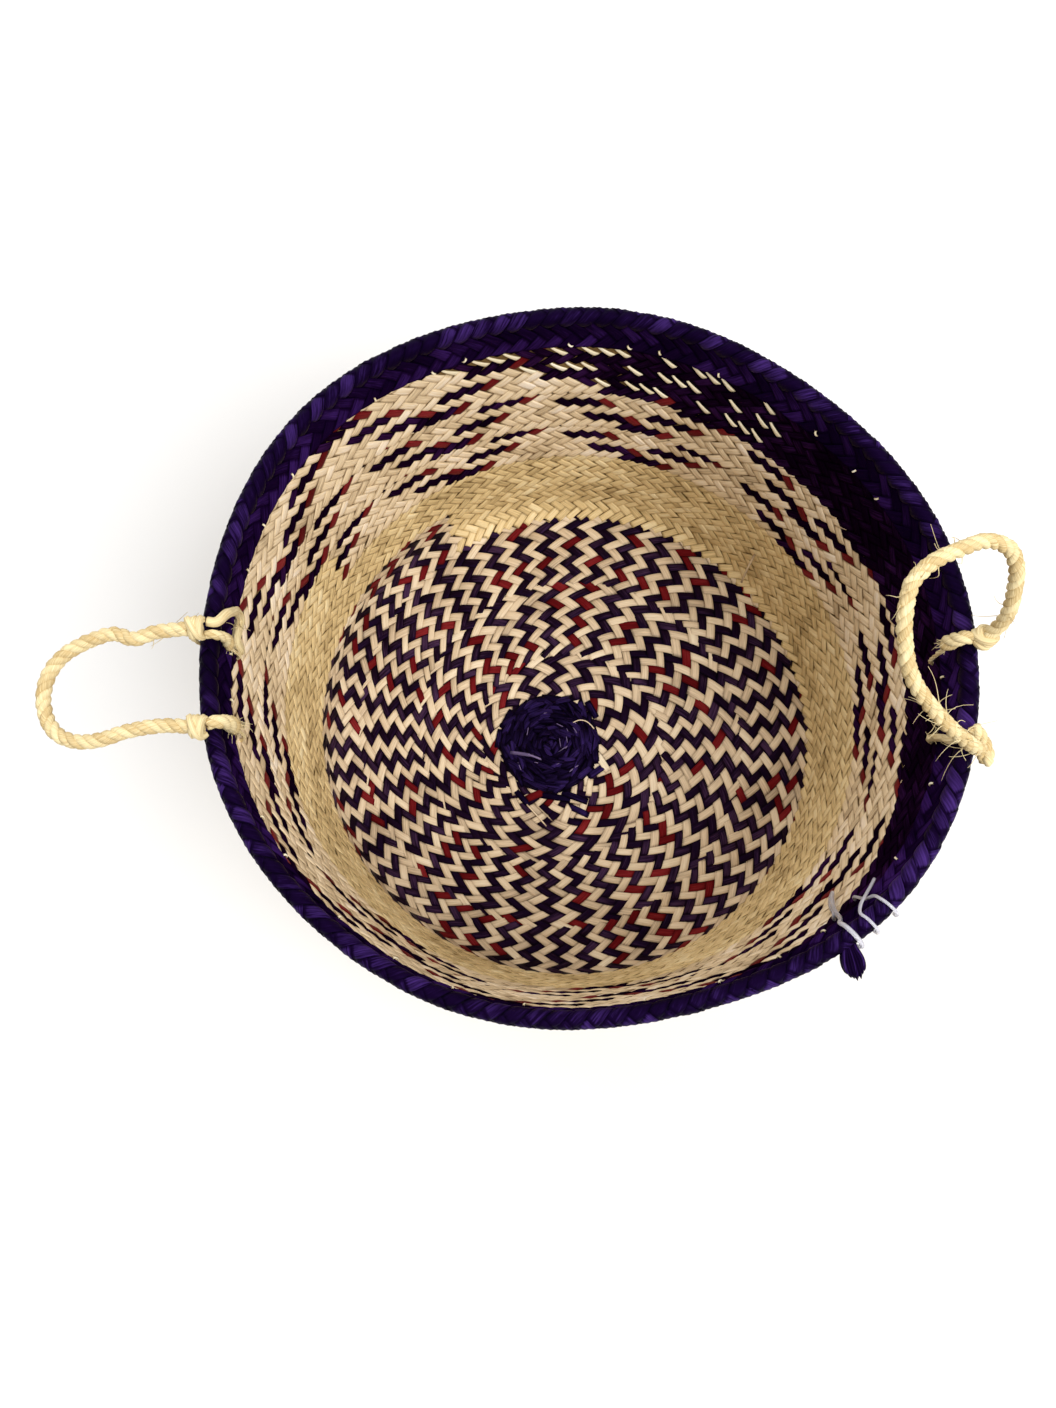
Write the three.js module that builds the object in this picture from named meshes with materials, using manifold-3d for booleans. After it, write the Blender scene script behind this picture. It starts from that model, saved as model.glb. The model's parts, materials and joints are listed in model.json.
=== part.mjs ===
// Palm leaf basket: one long plait of palm strips, wound clockwise into a spiral and sewn edge to
// edge, first flat for the base and then up a flared wall. A folded plait makes the rim, and two
// sisal rope handles are knotted on top of it and tied through the wall.
// Millimetres and degrees, +Z up, origin at the middle of the underside.

import * as THREE from 'three';
import { mergeVertices } from 'three/addons/utils/BufferGeometryUtils.js';
import Module from 'manifold-3d';

const wasm = await Module();
wasm.setup();

// The bowl, measured on the middle of the plait
const BASE_RADIUS = 147;
const RIM_RADIUS = 162;
const HEIGHT = 200;
const CORNER_RADIUS = 18;
// How far the rim is from round: it is oval, and the hand-pulled plait gives it a few soft lobes
const RIM_LOBES = [
  { count: 2, reach: 4.3, angle: -13 },
  { count: 3, reach: 1.8, angle: -12 },
  { count: 4, reach: 0.85, angle: -35 },
  { count: 6, reach: 1, angle: 19 },
];

// The plait and its seams
const PLAIT_THICKNESS = 3;
const SEAM_GAP = 0.3;
const SEAM_GROOVE = 1.4;
const SEWING_STRAND_WIDTH = 2;
const SEWING_STRAND_DEPTH = 1.5;
const SEWING_STRAND_RECESS = 0.2;
const TURNS_ON_BASE = 2.3;
const TURNS_IN_ALL = 7;
const STEPS_PER_TURN = 36;
const STRIPS_ACROSS_CORNER = 4;
const STRIPS_ACROSS_WALL = 2;

// Where the spiral steps up to its next turn, and where one plait is joined to the next
const JOG_ANGLE = 300;
const JOG_SHARE = 0.7;
const JOG_START = 0.8;
const JOG_TURNS = 3;
const TOP_TURN_RISE = 9;
const PATTERN_END = 3.5;
const NATURAL_END = 5.42;
const STRIPED_END = 7.61;
const SHOULDER_END = 7.991;
const BASE_STRAND_START = 0.5;
const WALL_STRAND_END = 6.94;

// The wound coil in the base, and how far it lies from the middle
const COIL_RADIUS = 31;
const COIL_TURNS = 4;
const COIL_HEIGHT = 5;
const COIL_GAP = 0.5;
const COIL_EDGE = 1;
const COIL_STEPS = 24;
const COIL_TAPER_START = 0.3;
const COIL_SHIFT = [-12, -9];
const START_RADIUS = 7;
const START_SIDES = 20;

// The folded rim plait and its loose tail
const RIM_BAND = 24;
const RIM_ROLL_RADIUS = 4.2;
const RIM_SHOULDER = 13;
const TAIL_ANGLE = 309;
const TAIL_LENGTH = 18;
const TAIL_WIDTH = 10;
const TAIL_THICKNESS = 5;
const TAIL_SIDES = 8;

// The rope of the handles, its knots, and the eyes that hold them to the wall
const ROPE_DIAMETER = 6.6;
const ROPE_SIDES = 8;
const ROPE_STEPS = 40;
const KNOT_RADIUS = 5.5;
const KNOT_SIDES = 12;
const KNOT_LEAN = 15;
const EYE_DIAMETER = 5.6;
const EYE_STRAND_DIAMETER = 4;
const EYE_SIDES = 6;
const EYE_STEPS = 28;
const EYE_INNER_START = -15;
const EYE_OUTER_START = -125;
const HOLE_DROP = 8;
const HOLE_CLEARANCE = 1.8;
const HOLE_SIDES = 12;
const FIT_GAP = 0.4;

// Each handle: the middle of its knots round the rim, the space between them, and the rope's route
// as distances along the rim towards the rear knot, outwards and upwards from that middle
const LEFT_HANDLE = {
  name: 'left',
  angle: 185.8,
  spacing: 42.4,
  route: [[21, 17, 0], [19, 27, -1], [22, 35, -1], [20, 46, -2], [15, 57, -3], [8, 63.5, -4],
    [0, 66, -4], [-9, 65.5, -4], [-18, 61, -3], [-23, 53, -2], [-24, 43, -1], [-21, 28, 0],
    [-20, 15, 0]],
};
const RIGHT_HANDLE = {
  name: 'right',
  angle: -8.2,
  spacing: 48.4,
  route: [[28, 3, 9], [32, 3, 17], [38, 1, 26], [43, -2, 34], [48, -8, 41], [48, -19, 46],
    [41, -32, 49], [35, -41, 50], [26, -48, 49], [15, -49, 46], [5, -47, 41], [-6, -42, 35],
    [-15, -32, 28], [-22, -19, 19], [-25, -8, 10]],
};
// Each eye: its handle and knot, its diameter, where it leaves the knot and where its hole lies,
// both as distances along the rim from the knot
const EYES = [
  { name: 'left_rear_eye_upper', handle: 'left', end: 'rear', diameter: EYE_STRAND_DIAMETER, leave: 2.6, hole: 7 },
  { name: 'left_rear_eye_lower', handle: 'left', end: 'rear', diameter: EYE_STRAND_DIAMETER, leave: -2.6, hole: -5 },
  { name: 'left_front_eye', handle: 'left', end: 'front', diameter: EYE_DIAMETER, leave: 0, hole: 0 },
  { name: 'right_rear_eye', handle: 'right', end: 'rear', diameter: EYE_DIAMETER, leave: 0, hole: -2 },
  { name: 'right_front_eye', handle: 'right', end: 'front', diameter: EYE_DIAMETER, leave: 0, hole: 3 },
];
// The clear plastic loops of a tag, round the rim beside its tail
const TAG_LOOPS = [
  { name: 'tag_loop_band', angle: 313, diameter: 2 },
  { name: 'tag_loop_thread', angle: 317.5, diameter: 1.4 },
];
const TAG_STEPS = 32;
const TAG_OPENING = 3;

const NATURAL_PALM = { color: '#d9c48f', roughness: 0.6, metalness: 0 };
const PURPLE_PALM = { color: '#2e1a5e', roughness: 0.45, metalness: 0 };
const STRIPED_PALM = { color: '#a58a72', roughness: 0.55, metalness: 0 };
const PATTERNED_PALM = { color: '#7d6c70', roughness: 0.55, metalness: 0 };
const SISAL_ROPE = { color: '#e6d29a', roughness: 0.85, metalness: 0 };
const CLEAR_PLASTIC = { color: '#e6e2ec', roughness: 0.2, metalness: 0 };

const basket = new THREE.Group();

function addPiece(name, geometry, finish) {
  const mesh = new THREE.Mesh(geometry, new THREE.MeshStandardMaterial(finish));
  mesh.name = name;
  basket.add(mesh);
  return mesh;
}

// The profile of the bowl: a flat base, a round corner and a straight flared wall, by arc length
const radians = THREE.MathUtils.degToRad;
const halfPlait = PLAIT_THICKNESS / 2;
const cornerCentreRadius = BASE_RADIUS - CORNER_RADIUS;
const cornerCentreHeight = halfPlait + CORNER_RADIUS;
const toRim = new THREE.Vector2(RIM_RADIUS - cornerCentreRadius, HEIGHT - cornerCentreHeight);
const flare = Math.acos(CORNER_RADIUS / toRim.length()) - toRim.angle();
const cornerTurn = Math.PI / 2 - flare;
const cornerLength = CORNER_RADIUS * cornerTurn;
const wallLength = Math.sqrt(toRim.lengthSq() - CORNER_RADIUS ** 2);
const rimTop = cornerCentreRadius + cornerLength + wallLength;
const rimSeam = rimTop - RIM_BAND;
const lastSeam = rimSeam - TOP_TURN_RISE;
const holeLevel = rimSeam - HOLE_DROP;
// How far a flat facet between two steps lies inside the true round of the wall
const facetDip = RIM_RADIUS * (1 - Math.cos(Math.PI / STEPS_PER_TURN));

// A point at an arc length and an angle round the basket, moved inwards from the middle of the plait.
// The base is round, and the wall grows into the lobes of the rim. On the base the rounds shift with
// the coil, which isn't quite in the middle.
function place(arc, angle, inwards) {
  const bend = THREE.MathUtils.clamp((arc - cornerCentreRadius) / CORNER_RADIUS, 0, cornerTurn);
  const flat = Math.min(arc, cornerCentreRadius);
  const up = Math.max(arc - cornerCentreRadius - cornerLength, 0);
  const along = new THREE.Vector2(Math.cos(bend), Math.sin(bend));
  const height = halfPlait + CORNER_RADIUS * (1 - along.x) + up * along.y + inwards * along.x;
  const round = flat + CORNER_RADIUS * along.y + up * along.x - inwards * along.y;
  const lobes = RIM_LOBES.map((lobe) => lobe.reach * Math.cos(lobe.count * radians(angle - lobe.angle)));
  const radius = round + (up / wallLength) * lobes.reduce((sum, reach) => sum + reach, 0);
  const shift = THREE.MathUtils.clamp((cornerCentreRadius - arc) / (cornerCentreRadius - COIL_RADIUS), 0, 1);
  const x = radius * Math.cos(radians(angle)) + COIL_SHIFT[0] * shift;
  const y = radius * Math.sin(radians(angle)) + COIL_SHIFT[1] * shift;
  return new THREE.Vector3(x, y, height);
}

const turnWidth = (lastSeam - cornerCentreRadius) / (TURNS_IN_ALL - TURNS_ON_BASE);
const topStep = TOP_TURN_RISE / turnWidth;

// The seam of the spiral: an even climb on the base, which gathers into one step at the jog over the
// last turns, so that the rim comes out level. The last step is higher, and the top turn wider.
function climbed(turn) {
  const whole = Math.floor(turn);
  const part = turn - whole;
  const gathered = THREE.MathUtils.clamp((whole + 1 - TURNS_IN_ALL) / JOG_TURNS + 1, 0, 1);
  const share = JOG_SHARE * gathered;
  const step = Math.max((part - JOG_START) / (1 - JOG_START), 0);
  return whole + (1 - share) * part + (share + topStep * (whole === TURNS_IN_ALL - 1)) * step ** 2;
}

function seam(turn) {
  if (turn >= TURNS_IN_ALL) {
    return rimSeam;
  }
  const level = climbed(turn);
  if (level < TURNS_ON_BASE) {
    return THREE.MathUtils.mapLinear(level, 0, TURNS_ON_BASE, COIL_RADIUS, cornerCentreRadius);
  }
  return cornerCentreRadius + turnWidth * (level - TURNS_ON_BASE);
}

function angleAt(turn) {
  return JOG_ANGLE - 360 * turn;
}

function coilEdge(turn) {
  return START_RADIUS + (COIL_RADIUS - START_RADIUS) * turn / COIL_TURNS;
}

// A closed body from a row of rings with equally many points. Point k of a ring faces its last but k,
// so that the two ends are closed by ladders of flat quads.
function loft(rings) {
  const count = rings[0].length;
  const positions = rings.flat().flatMap((point) => point.toArray());
  const triangles = [];
  for (let row = 0; row + 1 < rings.length; row += 1) {
    for (let k = 0; k < count; k += 1) {
      const next = (k + 1) % count;
      const a = row * count;
      const b = a + count;
      triangles.push(a + k, b + k, a + next, a + next, b + k, b + next);
    }
  }
  const last = (rings.length - 1) * count;
  for (let k = 0; k + 1 < count / 2; k += 1) {
    const far = count - 1 - k;
    triangles.push(k, k + 1, far, k + 1, far - 1, far);
    triangles.push(last + k, last + far, last + k + 1, last + k + 1, last + far, last + far - 1);
  }
  return facingOut(positions, triangles);
}

function facingOut(positions, triangles) {
  const corner = (index) => new THREE.Vector3().fromArray(positions, 3 * index);
  let volume = 0;
  for (let k = 0; k < triangles.length; k += 3) {
    volume += corner(triangles[k]).dot(corner(triangles[k + 1]).cross(corner(triangles[k + 2])));
  }
  const geometry = new THREE.BufferGeometry();
  geometry.setAttribute('position', new THREE.Float32BufferAttribute(positions, 3));
  geometry.setIndex(volume < 0 ? triangles.toReversed() : triangles);
  return geometry;
}

// Turns of the spiral from one join to the next, on steps that all plaits share
function stations(from, to) {
  const first = Math.ceil(from * STEPS_PER_TURN + 0.5);
  const last = Math.floor(to * STEPS_PER_TURN - 0.5);
  const turns = [from];
  for (let step = first; step <= last; step += 1) {
    turns.push(step / STEPS_PER_TURN);
  }
  turns.push(to);
  return turns;
}

function onStep(turn) {
  return Math.round(turn * STEPS_PER_TURN) / STEPS_PER_TURN;
}

// A stretch of the plait: as wide as the space between its two seams, its edges bevelled outside
function plait(from, to, across) {
  const rings = stations(from, to).map((turn) => {
    const lower = (turn < 1 ? coilEdge(COIL_TURNS - 1 + turn) : seam(turn - 1)) + SEAM_GAP / 2;
    const upper = seam(turn) - SEAM_GAP / 2;
    const bevel = Math.min(SEAM_GROOVE, (upper - lower) / 2 - SEAM_GAP);
    const inner = [];
    const outer = [];
    for (let k = 0; k <= across; k += 1) {
      inner.push(place(THREE.MathUtils.lerp(lower, upper, k / across), angleAt(turn), halfPlait));
      const arc = THREE.MathUtils.lerp(lower + bevel, upper - bevel, k / across);
      outer.unshift(place(arc, angleAt(turn), -halfPlait));
    }
    return [...inner, ...outer];
  });
  return loft(rings);
}

// A sewing strand of palm, three-sided, in the groove that two bevelled edges leave outside
function sewingStrand(turns, level) {
  const outside = SEWING_STRAND_RECESS - halfPlait;
  const rings = turns.map((turn) => {
    const arc = level(turn);
    const angle = angleAt(turn);
    const tip = place(arc, angle, outside + SEWING_STRAND_DEPTH);
    const left = place(arc - SEWING_STRAND_WIDTH / 2, angle, outside);
    const middle = place(arc, angle, outside);
    const right = place(arc + SEWING_STRAND_WIDTH / 2, angle, outside);
    return [left, tip, right, middle];
  });
  return loft(rings);
}

// The coil that the spiral starts from: one strand wound flat, tapered where it leaves the middle
function centreCoil() {
  const rings = [];
  const firstStep = Math.round(COIL_TAPER_START * COIL_STEPS);
  for (let step = firstStep; step <= COIL_TURNS * COIL_STEPS; step += 1) {
    const turn = step / COIL_STEPS;
    const inner = (turn < 1 ? START_RADIUS : coilEdge(turn - 1)) + COIL_GAP;
    const outer = coilEdge(turn);
    const edge = Math.min(COIL_EDGE, (outer - inner) / 4);
    const section = [[inner, 0], [inner, COIL_HEIGHT - COIL_EDGE], [inner + edge, COIL_HEIGHT],
      [outer - edge, COIL_HEIGHT], [outer, COIL_HEIGHT - COIL_EDGE], [outer, 0]];
    const angle = radians(angleAt(turn));
    rings.push(section.map(([r, z]) => new THREE.Vector3(r * Math.cos(angle), r * Math.sin(angle), z)));
  }
  printLeastGap(rings);
  return loft(rings).translate(...COIL_SHIFT, 0);
}

function printLeastGap(rings) {
  let least = Infinity;
  for (let row = 0; row + COIL_STEPS / 2 < rings.length; row += 1) {
    for (let later = row + COIL_STEPS / 2; later < rings.length; later += 1) {
      for (const point of rings[row]) {
        least = Math.min(least, ...rings[later].map((other) => point.distanceTo(other)));
      }
    }
  }
  console.log(`least gap of the centre coil to itself: ${least.toFixed(2)} mm`);
}

// The button in the middle of the coil, slightly domed
function startKnot() {
  const outline = [[0, 0], [START_RADIUS, 0], [START_RADIUS, COIL_HEIGHT - COIL_EDGE],
    [START_RADIUS - COIL_EDGE, COIL_HEIGHT], [0, COIL_HEIGHT + COIL_EDGE / 2]];
  const lathe = new THREE.LatheGeometry(outline.map(([r, z]) => new THREE.Vector2(r, z)), START_SIDES);
  return lathe.rotateX(Math.PI / 2).translate(...COIL_SHIFT, 0);
}

// The rim: a plait folded into a roll at the top, thinner below the roll, bevelled at its seam
function rimPlait() {
  const lower = rimSeam + SEAM_GAP / 2;
  const rollCentre = rimTop - RIM_ROLL_RADIUS;
  const rings = stations(0, 1 - SEAM_GAP / (2 * Math.PI * RIM_RADIUS)).map((turn) => {
    const point = (arc, inwards) => place(arc, angleAt(turn), inwards);
    const roll = [0, 45, 90, 135, 180].map((lean) => point(
      rollCentre + RIM_ROLL_RADIUS * Math.sin(radians(lean)),
      RIM_ROLL_RADIUS * Math.cos(radians(lean)),
    ));
    const innerSide = [point(lower, halfPlait), point(rimTop - RIM_SHOULDER, halfPlait)];
    const outerSide = [point(rimTop - RIM_SHOULDER, -halfPlait), point(lower + SEAM_GROOVE, -halfPlait)];
    const middle = [point(lower + SEAM_GROOVE / 2, 0)];
    return [...innerSide, ...roll, ...outerSide, ...middle];
  });
  return loft(rings);
}

// The loose end of the rim plait: a flat bundle of strips that stands out from the rim and spreads
function rimTail() {
  const root = place(rimTop - RIM_ROLL_RADIUS, TAIL_ANGLE, -RIM_ROLL_RADIUS - FIT_GAP);
  const outwards = new THREE.Vector3(Math.cos(radians(TAIL_ANGLE)), Math.sin(radians(TAIL_ANGLE)), 0);
  const sideways = new THREE.Vector3(-outwards.y, outwards.x, 0);
  const shares = [[0, 0.7, 0.8], [0.4, 0.95, 1], [0.8, 1, 0.9], [1, 0.7, 0.5]];
  const rings = shares.map(([reach, width, thickness]) => {
    const ring = [];
    for (let k = 0; k < TAIL_SIDES; k += 1) {
      const lean = 2 * Math.PI * (k + 0.5) / TAIL_SIDES;
      ring.push(root.clone()
        .addScaledVector(outwards, TAIL_LENGTH * reach)
        .addScaledVector(sideways, TAIL_WIDTH / 2 * width * Math.cos(lean))
        .add(new THREE.Vector3(0, 0, TAIL_THICKNESS / 2 * thickness * Math.sin(lean))));
    }
    return ring;
  });
  return loft(rings);
}

function tube(points, diameter, sides, steps) {
  const section = new THREE.Shape();
  for (let k = 0; k < sides; k += 1) {
    const lean = 2 * Math.PI * k / sides;
    const corner = [diameter / 2 * Math.cos(lean), diameter / 2 * Math.sin(lean)];
    k === 0 ? section.moveTo(...corner) : section.lineTo(...corner);
  }
  const extrudePath = new THREE.CatmullRomCurve3(points);
  return new THREE.ExtrudeGeometry(section, { steps, extrudePath });
}

// The knots sit on the roll of the rim, a little to its outer side
const knotLift = RIM_ROLL_RADIUS + KNOT_RADIUS + FIT_GAP;
const knotLevel = rimTop - RIM_ROLL_RADIUS + knotLift * Math.cos(radians(KNOT_LEAN));
const knotInwards = -knotLift * Math.sin(radians(KNOT_LEAN));

function alongRim(distance, angle) {
  const radius = place(rimTop, angle, 0).setZ(0).length();
  return THREE.MathUtils.radToDeg(distance / radius);
}

// A handle's frame: its two knots and the directions along the rim, outwards and upwards. The rear
// knot of the left handle lies clockwise of its middle, and that of the right handle the other way.
function handleFrame(handle) {
  const side = handle.name === 'left' ? -1 : 1;
  const half = alongRim(handle.spacing / 2, handle.angle);
  const angles = { rear: handle.angle + side * half, front: handle.angle - side * half };
  const rear = place(knotLevel, angles.rear, knotInwards);
  const front = place(knotLevel, angles.front, knotInwards);
  const middle = rear.clone().lerp(front, 0.5);
  const along = rear.clone().sub(front).setZ(0).normalize();
  const outwards = new THREE.Vector3(along.y, -along.x, 0).multiplyScalar(side);
  return { side, angles, rear, front, middle, along, outwards };
}

function handleRope(handle, frame) {
  const route = handle.route.map(([along, outwards, up]) => frame.middle.clone()
    .addScaledVector(frame.along, along)
    .addScaledVector(frame.outwards, outwards)
    .add(new THREE.Vector3(0, 0, up)));
  const leave = (knot, towards) => towards.clone().sub(knot).setLength(KNOT_RADIUS + FIT_GAP).add(knot);
  const points = [leave(frame.rear, route[0]), ...route, leave(frame.front, route.at(-1))];
  return { points, geometry: tube(points, ROPE_DIAMETER, ROPE_SIDES, ROPE_STEPS) };
}

// A knot: three turns of rope drawn tight round the rope that leaves it
function knot(centre, towards) {
  const outline = [[0, -0.96], [0.48, -0.86], [0.88, -0.46], [0.8, -0.28], [1, 0], [0.8, 0.28],
    [0.88, 0.46], [0.48, 0.86], [0, 0.96]];
  const profile = outline.map(([r, z]) => new THREE.Vector2(r * KNOT_RADIUS, z * KNOT_RADIUS));
  const axis = towards.clone().sub(centre).normalize();
  const turn = new THREE.Quaternion().setFromUnitVectors(new THREE.Vector3(0, 1, 0), axis);
  return new THREE.LatheGeometry(profile, KNOT_SIDES).applyQuaternion(turn).translate(...centre);
}

// An eye: from the inner side of its knot down inside the rim, out through the wall and up again
function eyeRoute(eye, frame) {
  const knotAngle = frame.angles[eye.end];
  const leaveAngle = knotAngle + frame.side * alongRim(eye.leave, knotAngle);
  const holeAngle = knotAngle + frame.side * alongRim(eye.hole, knotAngle);
  const half = eye.diameter / 2;
  const leaveKnot = (lean, further) => {
    const reach = KNOT_RADIUS + FIT_GAP + further;
    const level = knotLevel + reach * Math.sin(radians(lean));
    return place(level, leaveAngle, knotInwards + reach * Math.cos(radians(lean)));
  };
  const clearOfRoll = RIM_ROLL_RADIUS + half + FIT_GAP + facetDip;
  const clearOfWall = halfPlait + half + FIT_GAP + facetDip;
  const legs = (side) => [
    place(rimTop - RIM_ROLL_RADIUS, leaveAngle, side * clearOfRoll),
    place(rimTop - RIM_SHOULDER, (leaveAngle + holeAngle) / 2, side * (clearOfWall + clearOfRoll) / 2),
    place(holeLevel + half + HOLE_CLEARANCE, holeAngle, side * clearOfWall),
  ];
  const inner = [leaveKnot(EYE_INNER_START, 0), leaveKnot(EYE_INNER_START, half), ...legs(1)];
  const outer = [leaveKnot(EYE_OUTER_START, 0), leaveKnot(EYE_OUTER_START, half), ...legs(-1)];
  const throughWall = halfPlait + FIT_GAP;
  const through = [throughWall, -throughWall].map((inwards) => place(holeLevel, holeAngle, inwards));
  return [...inner, ...through, ...outer.reverse()];
}

// A tag loop: once round the rim through a hole below it, its two ends apart on the outer side
function tagRoute(loop) {
  const half = loop.diameter / 2;
  const clearOfRoll = RIM_ROLL_RADIUS + half + FIT_GAP + facetDip;
  const clearOfWall = halfPlait + half + 3 * FIT_GAP + facetDip;
  const rollCentre = rimTop - RIM_ROLL_RADIUS;
  const point = (arc, inwards) => place(arc, loop.angle, inwards);
  const overRoll = [150, 120, 90, 60, 30, 0].map((lean) => point(
    rollCentre + clearOfRoll * Math.sin(radians(lean)),
    clearOfRoll * Math.cos(radians(lean)),
  ));
  const outerEnd = rimTop - RIM_SHOULDER;
  const holeTop = holeLevel + half + HOLE_CLEARANCE;
  return [point(outerEnd + TAG_OPENING, -clearOfRoll), point(rollCentre, -clearOfRoll), ...overRoll,
    point(outerEnd, (clearOfWall + clearOfRoll) / 2), point(holeTop, clearOfWall),
    point(holeLevel, halfPlait + FIT_GAP), point(holeLevel, -halfPlait - FIT_GAP),
    point(holeTop, -clearOfWall), point(outerEnd - TAG_OPENING, -clearOfRoll)];
}

// Round holes through the wall, one for each eye and tag loop
function hole(angle, diameter) {
  const through = place(holeLevel, angle, 1).sub(place(holeLevel, angle, 0));
  const turn = new THREE.Quaternion().setFromUnitVectors(new THREE.Vector3(0, 1, 0), through.normalize());
  const radius = diameter / 2 + HOLE_CLEARANCE;
  return new THREE.CylinderGeometry(radius, radius, 3 * PLAIT_THICKNESS, HOLE_SIDES)
    .applyQuaternion(turn)
    .translate(...place(holeLevel, angle, 0));
}

function toSolid(geometry) {
  const bare = geometry.clone();
  bare.deleteAttribute('normal');
  bare.deleteAttribute('uv');
  const merged = mergeVertices(bare);
  const vertProperties = new Float32Array(merged.attributes.position.array);
  const triVerts = new Uint32Array(merged.index.array);
  return new wasm.Manifold(new wasm.Mesh({ numProp: 3, vertProperties, triVerts }));
}

function fromSolid(solid) {
  const mesh = solid.getMesh();
  const geometry = new THREE.BufferGeometry();
  geometry.setAttribute('position', new THREE.BufferAttribute(mesh.vertProperties, 3));
  geometry.setIndex(new THREE.BufferAttribute(mesh.triVerts, 1));
  return geometry;
}

function cut(geometry, holes) {
  return fromSolid(holes.reduce((solid, one) => solid.subtract(toSolid(one)), toSolid(geometry)));
}

// Handles, eyes and tag loops
const holes = [];
const frames = {};
for (const handle of [LEFT_HANDLE, RIGHT_HANDLE]) {
  const frame = handleFrame(handle);
  const rope = handleRope(handle, frame);
  frames[handle.name] = frame;
  addPiece(`${handle.name}_handle_rope`, rope.geometry, SISAL_ROPE);
  addPiece(`${handle.name}_rear_knot`, knot(frame.rear, rope.points[0]), SISAL_ROPE);
  addPiece(`${handle.name}_front_knot`, knot(frame.front, rope.points.at(-1)), SISAL_ROPE);
}
for (const eye of EYES) {
  const frame = frames[eye.handle];
  const knotAngle = frame.angles[eye.end];
  addPiece(eye.name, tube(eyeRoute(eye, frame), eye.diameter, EYE_SIDES, EYE_STEPS), SISAL_ROPE);
  holes.push(hole(knotAngle + frame.side * alongRim(eye.hole, knotAngle), eye.diameter));
}
for (const loop of TAG_LOOPS) {
  addPiece(loop.name, tube(tagRoute(loop), loop.diameter, EYE_SIDES, TAG_STEPS), CLEAR_PLASTIC);
  holes.push(hole(loop.angle, loop.diameter));
}

// The bowl, from the middle outwards and up to the rim
const joinGap = SEAM_GAP / (2 * Math.PI * BASE_RADIUS);
const [patternEnd, naturalEnd, stripedEnd] = [PATTERN_END, NATURAL_END, STRIPED_END].map(onStep);
addPiece('start_knot', startKnot(), PURPLE_PALM);
addPiece('centre_coil', centreCoil(), PURPLE_PALM);
addPiece('base_plait', plait(joinGap * COIL_TURNS, patternEnd, STRIPS_ACROSS_CORNER), PATTERNED_PALM);
const lowerWall = plait(patternEnd + joinGap, naturalEnd, STRIPS_ACROSS_CORNER);
const upperWall = plait(naturalEnd + joinGap, stripedEnd, STRIPS_ACROSS_WALL);
const shoulder = plait(stripedEnd + joinGap, SHOULDER_END, STRIPS_ACROSS_WALL);
addPiece('lower_wall_plait', lowerWall, NATURAL_PALM);
addPiece('upper_wall_plait', cut(upperWall, holes), STRIPED_PALM);
addPiece('shoulder_plait', cut(shoulder, holes), PURPLE_PALM);
addPiece('rim_plait', rimPlait(), PURPLE_PALM);
addPiece('rim_plait_tail', rimTail(), PURPLE_PALM);

// The strands that sew the turns together
addPiece('base_sewing_strand', sewingStrand(stations(onStep(BASE_STRAND_START), patternEnd), seam), NATURAL_PALM);
const wallStrandStart = patternEnd + joinGap;
addPiece('wall_sewing_strand', sewingStrand(stations(wallStrandStart, onStep(WALL_STRAND_END)), seam), NATURAL_PALM);
addPiece('rim_sewing_strand', sewingStrand(stations(joinGap, 1 - joinGap), () => rimSeam), PURPLE_PALM);

export default basket;
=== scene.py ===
# %% [markdown]
# # A palm leaf basket
#
# The basket is one long plait of palm strips, wound into a spiral and sewn edge to edge, with a folded
# rim and two rope handles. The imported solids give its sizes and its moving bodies. This lesson dresses
# them: every strip of the plait, every strand of the rope and every finish is made here.

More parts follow.
